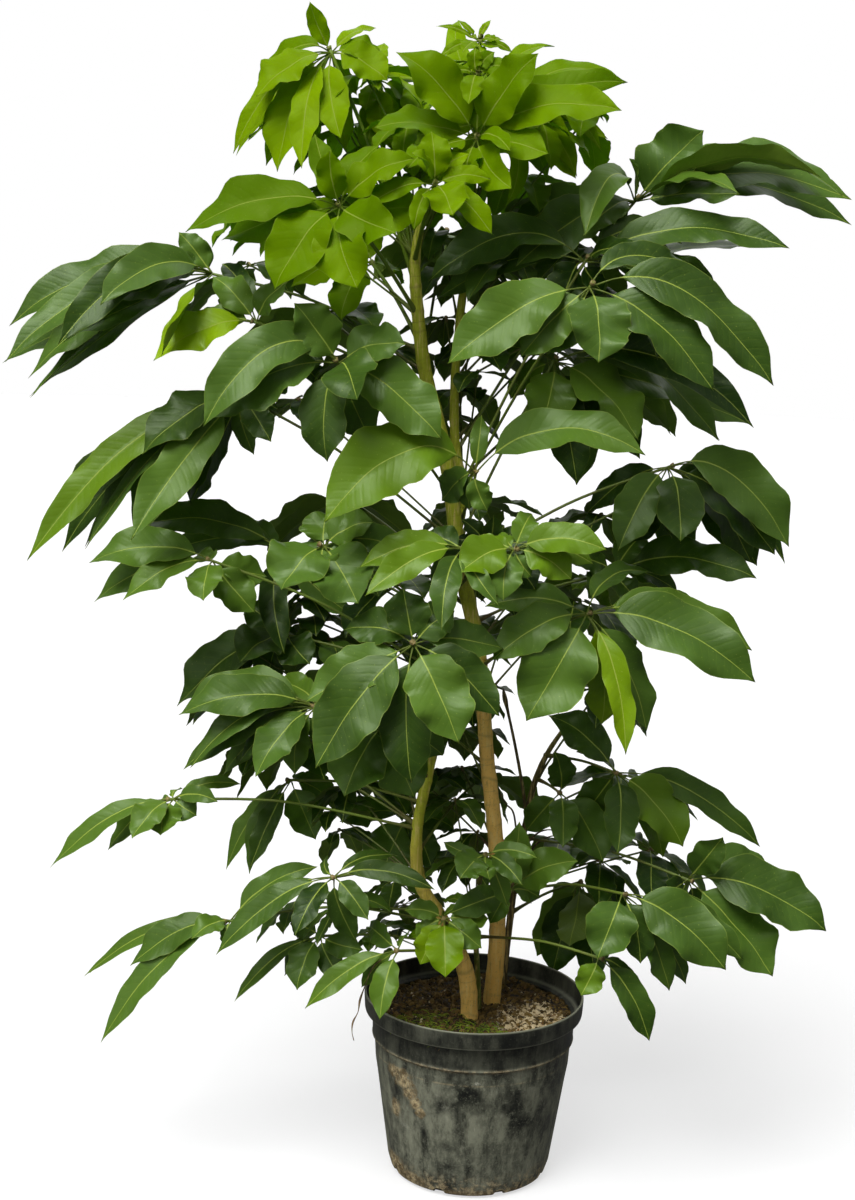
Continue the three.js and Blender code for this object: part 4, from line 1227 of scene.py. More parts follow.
def soil_material(settings):
    """Dark, damp compost."""
    material, maker = new_material("soil_bed")
    here = maker.spot()
    coarse = maker.noise(here, 90.0, 4.0)
    grain = maker.noise(here, 620.0, 3.0)
    dust = 1 - ((here - DUST_CENTRE).length() / DUST_REACH + (coarse - 0.5) * 1.4).rise(0.6, 1.0)
    body = maker.layered(settings.dark, [
        (coarse.rise(0.35, 0.7), settings.brown),
        (grain.rise(0.6, 0.75) * 0.6, settings.fibre),
        (dust * grain.rise(0.42, 0.6) * 0.6, settings.perlite),
    ])
    bumps = (coarse + grain * 0.6, 2.5 * MM, 0.9)
    return shown(maker, material, coat(maker, body, 0.8 + grain * 0.15, bumps))


# Settings


def colour_field(name, description, default):
    return bpy.props.FloatVectorProperty(
        name=name, description=description, default=default, subtype="COLOR", size=3, min=0.0, max=1.0
    )


def length_field(name, description, default):
    return bpy.props.FloatProperty(
        name=name, description=description, default=default, unit="LENGTH", min=0.0
    )


def count_field(name, description, default):
    return bpy.props.IntProperty(name=name, description=description, default=default, min=1)


def share_field(name, description, default):
    return bpy.props.FloatProperty(
        name=name, description=description, default=default, subtype="FACTOR", min=0.0, max=1.0
    )


def strength_field(name, description, default):
    return bpy.props.FloatProperty(name=name, description=description, default=default, min=0.0)


class PotSettings(bpy.types.PropertyGroup):
    segments: count_field("Segments", "How many segments the pot has round its axis", 224)
    plastic: colour_field("Plastic", "Colour of the clean plastic", tint(20, 22, 19))
    bloom: colour_field("Bloom", "Colour of the grey-green film on old plastic", tint(150, 152, 130))
    mud: colour_field("Mud", "Colour of the dry mud", tint(210, 188, 142))
    chalk: colour_field("Chalk", "Colour of the small pale marks", tint(180, 180, 162))
    damp_mud: colour_field("Damp mud", "Colour of the thin parts of the mud", tint(118, 100, 68))


class SoilSettings(bpy.types.PropertyGroup):
    relief: length_field("Relief", "Height of the lumps in the soil", 7 * MM)
    dark: colour_field("Dark", "Darkest colour of the compost", tint(22, 16, 6))
    brown: colour_field("Brown", "Middle colour of the compost", tint(60, 46, 18))
    fibre: colour_field("Fibre", "Colour of the fibres in the compost", tint(128, 104, 52))
    perlite: colour_field("Perlite", "Colour of the perlite and sand", tint(226, 210, 170))
    moss: colour_field("Moss", "Colour of the moss", tint(150, 176, 40))


class StemSettings(bpy.types.PropertyGroup):
    scar_spacing: length_field("Scar spacing", "Distance between leaf scars on the stems", 36 * MM)
    tan_colour: colour_field("Tan", "Colour of old bark", tint(255, 208, 108))
    green_colour: colour_field("Green", "Colour of young bark", tint(182, 190, 40))
    slender_colour: colour_field("Slender", "Colour of the slender side stem", tint(92, 82, 48))
    shoot_colour: colour_field("Shoot", "Colour of the young shoot", tint(96, 116, 40))
    twig_colour: colour_field("Twig", "Colour of the bare twigs", tint(70, 58, 36))
    dry_colour: colour_field("Dry", "Colour of the dry thread", tint(138, 112, 78))
    dark_bark_colour: colour_field("Dark bark", "Colour of scars and stains", tint(104, 78, 36))
    pale_bark_colour: colour_field("Pale bark", "Colour of pores and fibres", tint(255, 226, 146))


class LeafSettings(bpy.types.PropertyGroup):
    extra_leaflets: share_field("Extra leaflets", "How full the whorls are made", 1.0)
    margin_wave: share_field("Margin wave", "Height of a margin's waves as a share of its width", 0.14)
    outline_wave: share_field("Outline wave", "Depth of the scallops in a leaflet's outline", 0.055)
    old_colour: colour_field("Old", "Colour of the oldest leaves", tint(22, 46, 5))
    grown_colour: colour_field("Grown", "Colour of grown leaves", tint(83, 114, 40))
    young_colour: colour_field("Young", "Colour of young leaves", tint(108, 142, 0))
    newest_colour: colour_field("Newest", "Colour of the newest leaves", tint(152, 186, 4))
    under_colour: colour_field("Underside", "Colour of the undersides", tint(132, 154, 66))
    through_colour: colour_field("Light through", "Colour of light that passes a leaf", tint(156, 200, 0))
    rib_colour: colour_field("Rib", "Colour of midribs and margins", tint(170, 188, 76))
    vein_colour: colour_field("Vein", "Colour of the side veins", tint(118, 146, 44))
    stalk_colour: colour_field("Stalk", "Colour of leaf stalks", tint(104, 118, 46))
    stalk_foot_colour: colour_field("Stalk foot", "Colour of the stalks' brown parts", tint(92, 70, 40))
    hub_colour: colour_field("Hub", "Colour of the hubs where leaflets meet", tint(158, 124, 88))


class StageSettings(bpy.types.PropertyGroup):
    floor_colour: colour_field("Floor", "Colour of the floor", (0.93, 0.93, 0.93))
    backdrop_colour: colour_field("Backdrop", "Colour behind the plant", (1.0, 1.0, 1.0))
    sky_strength: strength_field("Sky", "Strength of the light all round", 0.13)
    key_strength: strength_field("Key light", "Strength of the main soft light", 3.5)
    front_strength: strength_field("Front light", "Strength of the low soft light from the front", 0.5)
    fill_strength: strength_field("Fill light", "Strength of the weaker soft light", 0.3)
    rear_strength: strength_field("Rear light", "Strength of the soft light from behind", 0.85)
    floor_glow: share_field("Floor glow", "How much the floor's shadows are lightened", 0.6)


# Leaves


def kept_tone(tone):
    return min(1.0, max(0.0, tone))


def tone_rule():
    """How young each leaf and leaflet looks, from 0 for the oldest to 1 for the newest."""
    draw = random.Random(11)
    tones = {}

    def tone_of(node, index):
        if node not in tones:
            tones[node] = draw.uniform(0.7, 0.98) if "top" in node else draw.uniform(0.14, 0.4)
        own = tones[node]
        return own if index < 0 else kept_tone(own + draw.uniform(-0.08, 0.08))

    return tone_of


def bent(start, middle, end, shares):
    """Points on the curve from a start to an end that a middle point draws towards itself."""
    return [start * (1 - t) ** 2 + middle * 2 * t * (1 - t) + end * t ** 2 for t in shares]


def whorl_axis(leaf):
    """The direction that a whorl's leaflets stand round."""
    return sum((leaflet.ups[2] for leaflet in leaf.leaflets), Vector()).normalized()


def turned_leaflet(leaflet, hub, axis, angle, scale, droop):
    """A copy of a leaflet, turned round its hub, made smaller and let droop."""
    spin = Matrix.Rotation(angle, 3, axis)
    line = [hub + spin @ (point - hub) * scale for point in leaflet.line]
    out = (line[2] - hub).normalized()
    bend = Matrix.Rotation(-droop, 3, out.cross(axis).normalized())
    return leaflet._replace(
        line=[hub + bend @ (point - hub) for point in line],
        ups=[bend @ (spin @ up) for up in leaflet.ups],
        raises=[(right * scale, left * scale) for left, right in leaflet.raises],
        half=leaflet.half * scale,
        length=leaflet.length * scale,
    )


def blade_strip(leaflet):
    """A leaflet's blade as a few flat quads, for finding what it would cross."""
    verts = []
    tip = len(leaflet.line) - 1
    for at, point in enumerate(leaflet.line[2:], 2):
        before = leaflet.line[at - 1]
        right = (point - before).cross(leaflet.ups[at]).normalized()
        wide = leaflet.half * (0.1 if at == tip else 0.9)
        verts += [point - right * wide, point + right * wide]
    faces = [(i, i + 1, i + 3, i + 2) for i in range(0, len(verts) - 2, 2)]
    return BVHTree.FromPolygons(verts, faces), verts


def inside_box(verts):
    low, high = CAD_BOX
    return all(low[i] <= vert[i] <= high[i] for vert in verts for i in range(3))


def solids_tree():
    """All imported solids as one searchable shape."""
    verts = []
    faces = []
    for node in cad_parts.values():
        start = len(verts)
        verts += [vert.co.copy() for vert in node.data.vertices]
        faces += [tuple(start + index for index in face.vertices) for face in node.data.polygons]
    return BVHTree.FromPolygons(verts, faces)


def gaps_in(angles):
    """The open angles between neighbours round a hub: each gap's first neighbour and how far it opens."""
    order = sorted(range(len(angles)), key=lambda i: angles[i])
    gaps = []
    for here, there in zip(order, order[1:] + order[:1]):
        opening = (angles[there] - angles[here]) % (2 * math.pi)
        gaps.append((here, opening or 2 * math.pi))
    return gaps


def closes_gap(leaflet):
    """Whether a leaflet would show in one of the open places."""
    for point in leaflet.line[2:]:
        seen = shows_at(point)
        for x, y, wide, high in OPEN_PLACES:
            if ((seen.x - x) / wide) ** 2 + ((seen.y - y) / high) ** 2 < 1:
                return True
    return False


def has_room(leaflet, solids, placed):
    """Whether a leaflet crosses nothing and stays in the plant's box. If so, it is remembered."""
    strip, verts = blade_strip(leaflet)
    if not inside_box(verts):
        return False
    if strip.overlap(solids) or any(strip.overlap(other) for other in placed):
        return False
    placed.append(strip)
    return True


# The angle between two leaflets of a full whorl, where the plant's middle is, how far from it a whorl is
# filled all round, and how often one farther out gets a leaflet
WHORL_STEP = math.radians(46)
AXIS_X = -60 * MM
FILL_REACH = 230 * MM
OUTER_CHANCE = 0.45

# How often a place is tried for a leaflet, each time with a smaller one
FILL_TRIES = 5
INNER_TRIES = 6

# A leaf with a higher tone than this counts as young
YOUNG_TONE = 0.5

# Where the points of a leaflet's line lie along it
LINE_SHARES = (0.0, BASE_SHARE, *STATIONS, 1.0)
UPWARDS = Vector((0.0, 0.0, 1.0))

# A direction that no stalk follows, so that its tube doesn't twist
STEADY_UP = Vector((0.31, -0.2, 1.0))


def highest_share(leaf, near):
    """How far above its hub a further leaflet may reach, as a share of its length."""
    if leaf.tone > YOUNG_TONE:
        return 1.0
    return 0.25 if near else 0.08


def filled(leaf, solids, placed, draw, settings):
    """A leaf with further leaflets in the open angles of its whorl, where there is room."""
    axis = whorl_axis(leaf)
    side = leaf.leaflets[0].line[2] - leaf.hub
    first = (side - axis * side.dot(axis)).normalized()
    second = axis.cross(first)
    ways = [leaflet.line[2] - leaf.hub for leaflet in leaf.leaflets]
    angles = [math.atan2(way.dot(second), way.dot(first)) for way in ways]
    added = []
    near = abs(leaf.hub.x - AXIS_X) < FILL_REACH
    chance = settings.extra_leaflets * (1.0 if near else OUTER_CHANCE)
    highest = highest_share(leaf, near)
    for here, opening in gaps_in(angles):
        places = int(opening / WHORL_STEP - 0.35)
        for step in range(1, places + 1):
            if draw.random() > chance:
                continue
            model = leaf.leaflets[here]
            for attempt in range(FILL_TRIES):
                angle = opening * step / (places + 1) + draw.uniform(-0.12, 0.12)
                scale = draw.uniform(0.72, 0.95) * (1 - 0.09 * attempt)
                droop = draw.uniform(-0.25, 0.3) + 0.12 * attempt
                trial = turned_leaflet(model, leaf.hub, axis, angle, scale, droop)
                if trial.line[-1].z > leaf.hub.z + trial.length * highest:
                    continue
                if not closes_gap(trial) and has_room(trial, solids, placed):
                    added.append(trial._replace(tone=kept_tone(model.tone + draw.uniform(-0.1, 0.1))))
                    break
    return leaf._replace(leaflets=leaf.leaflets + added)


def tinted(leaf):
    """A leaf whose standing-out leaflets have their own tone."""
    leaflets = []
    for leaflet in leaf.leaflets:
        middle = shows_at(leaflet.line[3])
        tones = [tone for x, y, tone in TINTED_LEAFLETS if (middle - Vector((x, y))).length < TINT_REACH]
        leaflets.append(leaflet._replace(tone=tones[0]) if tones else leaflet)
    return leaf._replace(leaflets=leaflets)


def aimed_leaflet(hub, row, shift):
    """A leaflet that arches from a hub to where the photograph shows its tip."""
    tip = seen_at(row.x, row.y, row.depth * MM + shift)
    middle = hub.lerp(tip, 0.5) + Vector((0.0, 0.0, 2 * row.arch * MM))
    line = bent(hub, middle, tip, LINE_SHARES)
    to_camera = (CAMERA_PLACE - hub).normalized()
    face = Vector((0.0, 0.0, 1.0 - abs(row.facing) * 0.7)) + to_camera * row.facing
    ups = []
    for before, after in zip(line, line[1:]):
        heading = (after - before).normalized()
        ups.append(heading.cross(face).cross(heading).normalized())
    half = row.half * MM
    fold = half * 0.22
    raises = [(0.0, 0.0), (0.0, 0.0), (fold, fold), (fold, fold), (fold, fold), (0.0, 0.0)]
    return Leaflet(line, [ups[0], *ups], raises, half, line_length(line), row.tone)


def with_aimed(leaf, solids, placed):
    """A leaf with those leaflets that the solids leave out, each nearer or farther if it needs room."""
    added = []
    for row in AIMED_LEAFLETS.get(leaf.name, ()):
        for shift in AIMED_SHIFTS:
            trial = aimed_leaflet(leaf.hub, Aimed(*row), shift * MM)
            if has_room(trial, solids, placed):
                added.append(trial)
                break
    return leaf._replace(leaflets=leaf.leaflets + added)


def drooping_leaflet(hub, axis, way, row, draw):
    """A leaflet that leaves a hub one way and bends down under its own weight."""
    long = row.reach * MM * draw.uniform(0.8, 1.05)
    heading = (way + axis * draw.uniform(-0.1, 0.4)).normalized()
    right = heading.cross(axis).normalized()
    weight = draw.uniform(0.7, 1.5)
    line = [hub]
    ups = [right.cross(heading)]
    for before, share in zip(LINE_SHARES, LINE_SHARES[1:]):
        step = share - before
        heading = (heading - UPWARDS * weight * step).normalized()
        line.append(line[-1] + heading * long * step)
        ups.append(right.cross(heading))
    half = long * row.slim * draw.uniform(0.85, 1.12)
    fold = half * 0.2
    lean = half * draw.uniform(-0.1, 0.1)
    raises = [(0.0, 0.0), (0.0, 0.0), (fold + lean, fold - lean), (fold - lean, fold + lean), (fold, fold)]
    tone = kept_tone(row.tone + draw.uniform(-0.09, 0.09))
    return Leaflet(line, ups, [*raises, (0.0, 0.0)], half, long, tone)


def stalk_line(foot, hub, arch):
    """A leaf stalk from its foot in a stem, rising in an arch to its hub."""
    middle = foot.lerp(hub, 0.5) + Vector((0.0, 0.0, arch))
    line = bent(foot, middle, hub, [step / 5 for step in range(6)])
    return [*line, hub + (hub - line[-2]).normalized() * HUB_PAST]


def crossings(line, tree):
    """How often a line passes through something, apart from what it starts in."""
    count = 0
    for start, end in zip(line[1:], line[2:]):
        way = end - start
        count += tree.ray_cast(start, way.normalized(), way.length)[0] is not None
    return count


def inner_leaf(number, row, stems, solids, placed, draw):
    """A leaf of the dense inside, with as many leaflets as there is room for."""
    hub = seen_at(row.x, row.y, row.depth * MM)
    centres = [centre for centre, _ in stems[row.stem]]
    feet = sorted(centres, key=lambda centre: abs(centre.z - row.foot * MM))[:2]
    lines = [stalk_line(foot, hub, arch * MM) for foot in feet for arch in (8, 30, 60)]
    petiole = min(lines, key=lambda line: crossings(line, solids))
    axis = ((hub - petiole[3]).normalized() * 0.45 + Vector((0.0, 0.0, 0.8))).normalized()
    first = axis.cross(Vector((draw.uniform(-1, 1), draw.uniform(-1, 1), 0.1))).normalized()
    leaflets = []
    for place in range(row.count):
        for attempt in range(INNER_TRIES):
            angle = 2 * math.pi * (place + draw.uniform(-0.25, 0.25)) / row.count
            way = Matrix.Rotation(angle, 3, axis) @ first
            shorter = row._replace(reach=row.reach * (1 - 0.08 * attempt))
            leaflet = drooping_leaflet(hub, axis, way, shorter, draw)
            if not closes_gap(leaflet) and has_room(leaflet, solids, placed):
                leaflets.append(leaflet)
                break
    return Leaf(f"leaf_inner_{number}", hub, petiole, leaflets, row.tone)


def line_length(line):
    return sum((b - a).length for a, b in zip(line, line[1:]))


def leaf_guide(leaf, draw):
    """A leaf's chains, with what its tree reads at each point."""
    chains = [leaf.petiole]
    steady = STEADY_UP.normalized()
    stalk = [True] * len(leaf.petiole)
    ups = [steady] * len(leaf.petiole)
    forms = [(1.0, 0.0, 0.0)] * len(leaf.petiole)
    looks = [(leaf.tone, draw.random(), line_length(leaf.petiole))] * len(leaf.petiole)
    for leaflet in leaf.leaflets:
        seed = draw.random()
        chains.append(leaflet.line)
        stalk += [False] * len(leaflet.line)
        ups += leaflet.ups
        forms += [(left, right, leaflet.half) for left, right in leaflet.raises]
        looks += [(leaflet.tone, seed, leaflet.length)] * len(leaflet.line)
    return guide_mesh(leaf.name, chains, {
        "stalk": ("BOOLEAN", stalk),
        "up": ("FLOAT_VECTOR", ups),
        "form": ("FLOAT_VECTOR", forms),
        "look": ("FLOAT_VECTOR", looks),
    })


class PLANT_OT_leaves(bpy.types.Operator):
    """Makes every leaf: its stalk, its hub and its full whorl of leaflets"""

    bl_idname = "plant.make_leaves"
    bl_label = "Make leaves"

    def execute(self, context):
        settings = context.scene.plant_leaf
        draw = random.Random(29)
        tree = leaf_tree()
        blades = {
            "leaf": blade_material("leaf_blade", settings, 0.18, 0.36, (0.86, 1.0, 0.7)),
            "young_leaf": blade_material("young_blade", settings, 0.42, 0.14, (0.8, 1.0, 0.2)),
        }
        stalk = stalk_material("leaf_stalk", settings)
        tone_of = tone_rule()
        solids = solids_tree()
        placed = []

        def grow(leaf, is_young, values, *nodes):
            """Grows a leaf's piece, with further values for its tree."""
            slot = "young_leaf" if is_young else "leaf"
            piece = grown(leaf.name.replace("leaf", "foliage"), leaf_guide(leaf, draw), tree, {
                "Margin Wave": settings.margin_wave,
                "Outline Wave": settings.outline_wave,
                "Blade Material": blades[slot],
                "Stalk Material": stalk,
                **values,
            })
            dressed(piece, slot, *nodes)

        names = sorted(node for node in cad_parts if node.startswith("leaf"))
        leaves = [with_aimed(read_leaf(name, tone_of), solids, placed) for name in names]
        for leaf in leaves:
            is_young = "top" in leaf.name
            whole = tinted(filled(leaf, solids, placed, draw, settings))
            grow(whole, is_young, {"Stalk Radius": (2.9 if is_young else 2.2) * MM}, leaf.name)
        stems = {stem: read_stem(stem) for stem in STEMS}
        for number, row in enumerate(INNER_LEAVES, 1):
            leaf = inner_leaf(number, row, stems, solids, placed, draw)
            if not leaf.leaflets:
                continue
            small = min(1.0, row.reach / 120)
            grow(leaf, row.tone > YOUNG_TONE, {
                "Around": 12,
                "Along": 21,
                "Unevenness": 4 * MM * small,
                "Stalklet Radius": 1.0 * MM * small,
                "Stalk Radius": 1.7 * MM * small,
                "Hub Radius": 4.0 * MM * small,
            })
        return {"FINISHED"}


# Stems


def stem_piece(name, line, tree, material, settings, seed, steps, around=28):
    """A stem or twig grown along the centres of a line, with its radius at each."""
    points = [centre for centre, _ in line]
    mesh = guide_mesh(name, [points], {
        "up": ("FLOAT_VECTOR", [Vector((0.0, -1.0, 0.05))] * len(points)),
        "form": ("FLOAT_VECTOR", [(radius, seed, line_length(points)) for _, radius in line]),
    })
    slim = min(1.0, line[0][1] / STOUT_RADIUS)
    return grown(name, mesh, tree, {
        "Material": material,
        "Around": around,
        "Along": steps,
        "Scar Spacing": settings.scar_spacing,
        "Scar Height": 0.9 * MM * slim,
        "Roughness": 0.7 * MM * slim,
    })


class PLANT_OT_stems(bpy.types.Operator):
    """Makes the four stems, with their bark and leaf scars"""

    bl_idname = "plant.make_stems"
    bl_label = "Make stems"

    def execute(self, context):
        settings = context.scene.plant_stem
        tree = stem_tree()
        finishes = [
            ("bark", settings.tan_colour, 0.45),
            ("bark", settings.tan_colour, 0.78),
            ("bark", settings.slender_colour, 0.7),
            ("green_stem", settings.shoot_colour, 0.6),
        ]
        for number, (node, (slot, low_colour, change)) in enumerate(zip(STEMS, finishes)):
            material = bark_material(node + "_bark", low_colour, settings.green_colour, change, settings)
            line = read_stem(node)
            steps = int(line_length([centre for centre, _ in line]) / STEM_STEP)
            piece = stem_piece("grown_" + node, line, tree, material, settings, number / 7, steps)
            dressed(piece, slot, node)
        return {"FINISHED"}


# Bare twigs: a name, the height on the slender stem where it starts, its depth, and each further point's
# place in the photograph and its radius. The dry thread has a depth and points of the same kind
TWIGS = [
    ("bud_shoot", 532, 100, [
        (523, 790, 2.6), (516, 750, 2.4), (508, 712, 2.3), (505, 699, 4.0), (503, 688, 1.2),
    ]),
    ("thin_twig", 490, 90, [(514, 815, 1.5), (506, 804, 1.2), (499, 792, 0.9)]),
    ("low_twig", 471, 85, [(534, 836, 1.5), (546, 830, 1.2), (560, 831, 0.8)]),
    ("back_twig", 430, 120, [(530, 852, 1.6), (546, 838, 1.2), (562, 835, 0.8)]),
]
DRY_THREAD_DEPTH = -125
DRY_THREAD = [
    (386, 957, 0.8), (373, 967, 0.9), (365, 986, 0.7), (360, 1000, 1.7),
    (358, 1012, 0.6), (353, 1022, 1.4), (352, 1032, 0.6), (354, 1041, 0.8),
]


def line_through(start, places, depth):
    """A line from a start through places in the photograph, with its radius at each point."""
    line = [(start, places[0][2] * MM)]
    return line + [(seen_at(x, y, depth * MM), radius * MM) for x, y, radius in places]


class PLANT_OT_twigs(bpy.types.Operator):
    """Makes the bare twigs of the slender stem and the dry thread that hangs beside the pot"""

    bl_idname = "plant.make_twigs"
    bl_label = "Make twigs"

    def execute(self, context):
        settings = context.scene.plant_stem
        tree = stem_tree()
        dark = bark_material("twig_bark", settings.twig_colour, settings.slender_colour, 0.5, settings)
        dry = bark_material("dry_bark", settings.dry_colour, settings.dry_colour, 0.5, settings)
        carrier = read_stem("stem_side")
        for name, height, depth, places in TWIGS:
            foot = min((centre for centre, _ in carrier), key=lambda centre: abs(centre.z - height * MM))
            line = line_through(foot, places, depth)
            dressed(stem_piece(name, line, tree, dark, settings, 0.4, 36, 10), "bark")
        hub = read_leaf("leaf_low_1", tone_rule()).hub
        line = line_through(hub, DRY_THREAD, DRY_THREAD_DEPTH)
        dressed(stem_piece("dry_thread", line, tree, dry, settings, 0.2, 60, 8), "bark")
        return {"FINISHED"}


# Pot


def lathe(name, profile, segments):
    """A closed body turned round the upright axis, from the points of its outline."""
    shape = bmesh.new()
    rings = []
    for radius, height in profile:
        if radius == 0.0:
            rings.append([shape.verts.new((0.0, 0.0, height))])
            continue
        angles = [2 * math.pi * step / segments for step in range(segments)]
        rings.append([
            shape.verts.new((radius * math.cos(angle), radius * math.sin(angle), height)) for angle in angles
        ])
    for low, high in zip(rings, rings[1:]):
        for step in range(segments):
            after = (step + 1) % segments
            lower = [low[step % len(low)], low[after % len(low)]]
            upper = [high[after % len(high)], high[step % len(high)]]
            shape.faces.new(list(dict.fromkeys(lower + upper)))
    bmesh.ops.recalc_face_normals(shape, faces=shape.faces)
    return settled(name, shape)


def rounded(corners, radius, steps=4):
    """An outline with its inner corners rounded off."""
    points = [corners[0]]
    for before, here, after in zip(corners, corners[1:], corners[2:]):
        here = Vector(here)
        back = Vector(before) - here
        ahead = Vector(after) - here
        cut = min(radius, back.length * 0.45, ahead.length * 0.45)
        start = here + back.normalized() * cut
        end = here + ahead.normalized() * cut
        points += bent(start, here, end, [step / steps for step in range(steps + 1)])
    return [*points, corners[-1]]


def pot_outline():
    outer = [
        (0.0, 0.0),
        (POT_BASE_RADIUS - POT_FOOT_BEVEL, 0.0),
        (POT_BASE_RADIUS, POT_FLOOR),
        (POT_BASE_RADIUS + POT_FOOT_FLARE, POT_FOOT_HEIGHT),
        (POT_WAIST_RADIUS - 4 * MM, POT_WAIST_HEIGHT - 24 * MM),
        (POT_WAIST_RADIUS, POT_WAIST_HEIGHT),
        (POT_COLLAR_RADIUS - 3 * MM, POT_COLLAR_LOW - 1 * MM),
        (POT_COLLAR_RADIUS + 1.4 * MM, POT_COLLAR_LOW + 0.6 * MM),
        (POT_COLLAR_RADIUS + 0.2 * MM, POT_COLLAR_LOW + 4 * MM),
        (POT_COLLAR_RADIUS + 1.5 * MM, POT_RIM_LOW),
        (POT_RIM_RADIUS - 2.2 * MM, POT_RIM_LOW),
        (POT_RIM_RADIUS - 1.2 * MM, POT_RIM_LOW + 4 * MM),
        (POT_RIM_RADIUS, POT_HEIGHT - 5 * MM),
        (POT_RIM_RADIUS, POT_HEIGHT),
    ]
    inner = [
        (POT_RIM_RADIUS - POT_WALL, POT_HEIGHT),
        (POT_RIM_RADIUS - POT_WALL - 1 * MM, POT_RIM_LOW + POT_WALL),
        (POT_COLLAR_RADIUS - POT_WALL, POT_RIM_LOW - POT_WALL),
        (POT_WAIST_RADIUS - POT_WALL, POT_WAIST_HEIGHT),
        (POT_BASE_RADIUS - POT_WALL + POT_FOOT_FLARE, POT_FOOT_HEIGHT),
        (POT_BASE_RADIUS - POT_WALL - 1.5 * MM, POT_FLOOR),
        (0.0, POT_FLOOR),
    ]
    return rounded(outer + inner, 1.6 * MM)


def drain_cutters():
    """Lying cylinders where the drain notches go."""
    shape = bmesh.new()
    place = Matrix.Translation((POT_BASE_RADIUS - DRAIN_INSET, 0.0, DRAIN_RISE))
    lie = Matrix.Rotation(math.pi / 2, 4, "Y")
    for drain in range(DRAIN_COUNT):
        turn = Matrix.Rotation(2 * math.pi * (drain + 0.5) / DRAIN_COUNT, 4, "Z")
        bmesh.ops.create_cone(
            shape, cap_ends=True, segments=24, radius1=DRAIN_RADIUS, radius2=DRAIN_RADIUS,
            depth=2 * DRAIN_REACH, matrix=turn @ place @ lie,
        )
    return linked("drain_cutters", settled("drain_cutters", shape))


class PLANT_OT_pot(bpy.types.Operator):
    """Makes the nursery pot with its rim, collar and drain notches"""

    bl_idname = "plant.make_pot"
    bl_label = "Make pot"

    def execute(self, context):
        settings = context.scene.plant_pot
        pot = linked("nursery_pot", lathe("nursery_pot", pot_outline(), settings.segments))
        cutter = drain_cutters()
        cut = pot.modifiers.new("drains", "BOOLEAN")
        cut.operation = "DIFFERENCE"
        cut.solver = "EXACT"
        cut.object = cutter
        graph = bpy.context.evaluated_depsgraph_get()
        made = bpy.data.meshes.new_from_object(pot.evaluated_get(graph), depsgraph=graph)
        pot.modifiers.clear()
        pot.data = made
        bpy.data.objects.remove(cutter)
        made.materials.clear()
        made.materials.append(plastic_material(settings))
        made.shade_smooth()
        made.set_sharp_from_angle(angle=POT_SHARP_ANGLE)
        dressed(pot, "pot", "pot")
        return {"FINISHED"}


# Soil


def soil_height(x, y, relief):
    """The height of the soil's top at a place."""
    radius = math.hypot(x, y)
    edge = POT_COLLAR_RADIUS - POT_WALL
    crown = SOIL_CROWN * max(0.0, 1 - radius / edge)
    dip = SOIL_EDGE_DIP * max(0.0, (radius - edge + SOIL_EDGE_BAND) / SOIL_EDGE_BAND) ** 2
    lumps = noise.noise(Vector((x, y, 0.3)) * 26) * 0.9 + noise.noise(Vector((x, y, 0.7)) * 75) * 0.5
    return SOIL_TOP + crown - dip + lumps * relief


def bridged(shape, inner, outer):
    """Faces between two rings of vertices, of which the inner may be one point."""
    for step in range(len(outer)):
        after = (step + 1) % len(outer)
        corners = [inner[step % len(inner)], outer[step], outer[after], inner[after % len(inner)]]
        shape.faces.new(list(dict.fromkeys(corners)))


def soil_top(relief, rings=52, segments=150):
    """The soil's upper surface on its own, and its edge."""
    shape = bmesh.new()
    edge = POT_COLLAR_RADIUS - POT_WALL - 0.6 * MM
    grid = [[shape.verts.new((0.0, 0.0, soil_height(0.0, 0.0, relief)))]]
    for ring in range(1, rings + 1):
        radius = edge * ring / rings
        row = []
        for step in range(segments):
            angle = 2 * math.pi * step / segments
            x = radius * math.cos(angle)
            y = radius * math.sin(angle)
            row.append(shape.verts.new((x, y, soil_height(x, y, relief))))
        grid.append(row)
    for inner, outer in zip(grid, grid[1:]):
        bridged(shape, inner, outer)
    return shape, grid[-1]


def soil_mesh(relief):
    """The whole fill of soil, down to the pot's floor."""
    shape, rim = soil_top(relief)
    lower = [
        (POT_WAIST_RADIUS - POT_WALL - 0.5 * MM, POT_WAIST_HEIGHT),
        (POT_BASE_RADIUS - POT_WALL + POT_FOOT_FLARE - 0.6 * MM, POT_FOOT_HEIGHT),
        (POT_BASE_RADIUS - POT_WALL - 3 * MM, POT_FLOOR + 0.3 * MM),
    ]
    above = rim
    for radius, height in lower:
        row = []
        for vert in rim:
            wide = math.hypot(vert.co.x, vert.co.y)
            row.append(shape.verts.new((vert.co.x * radius / wide, vert.co.y * radius / wide, height)))
        bridged(shape, above, row)
        above = row
    shape.faces.new(list(reversed(above)))
    bmesh.ops.recalc_face_normals(shape, faces=shape.faces)
    made = settled("soil_bed", shape)
    made.shade_smooth()
    return made


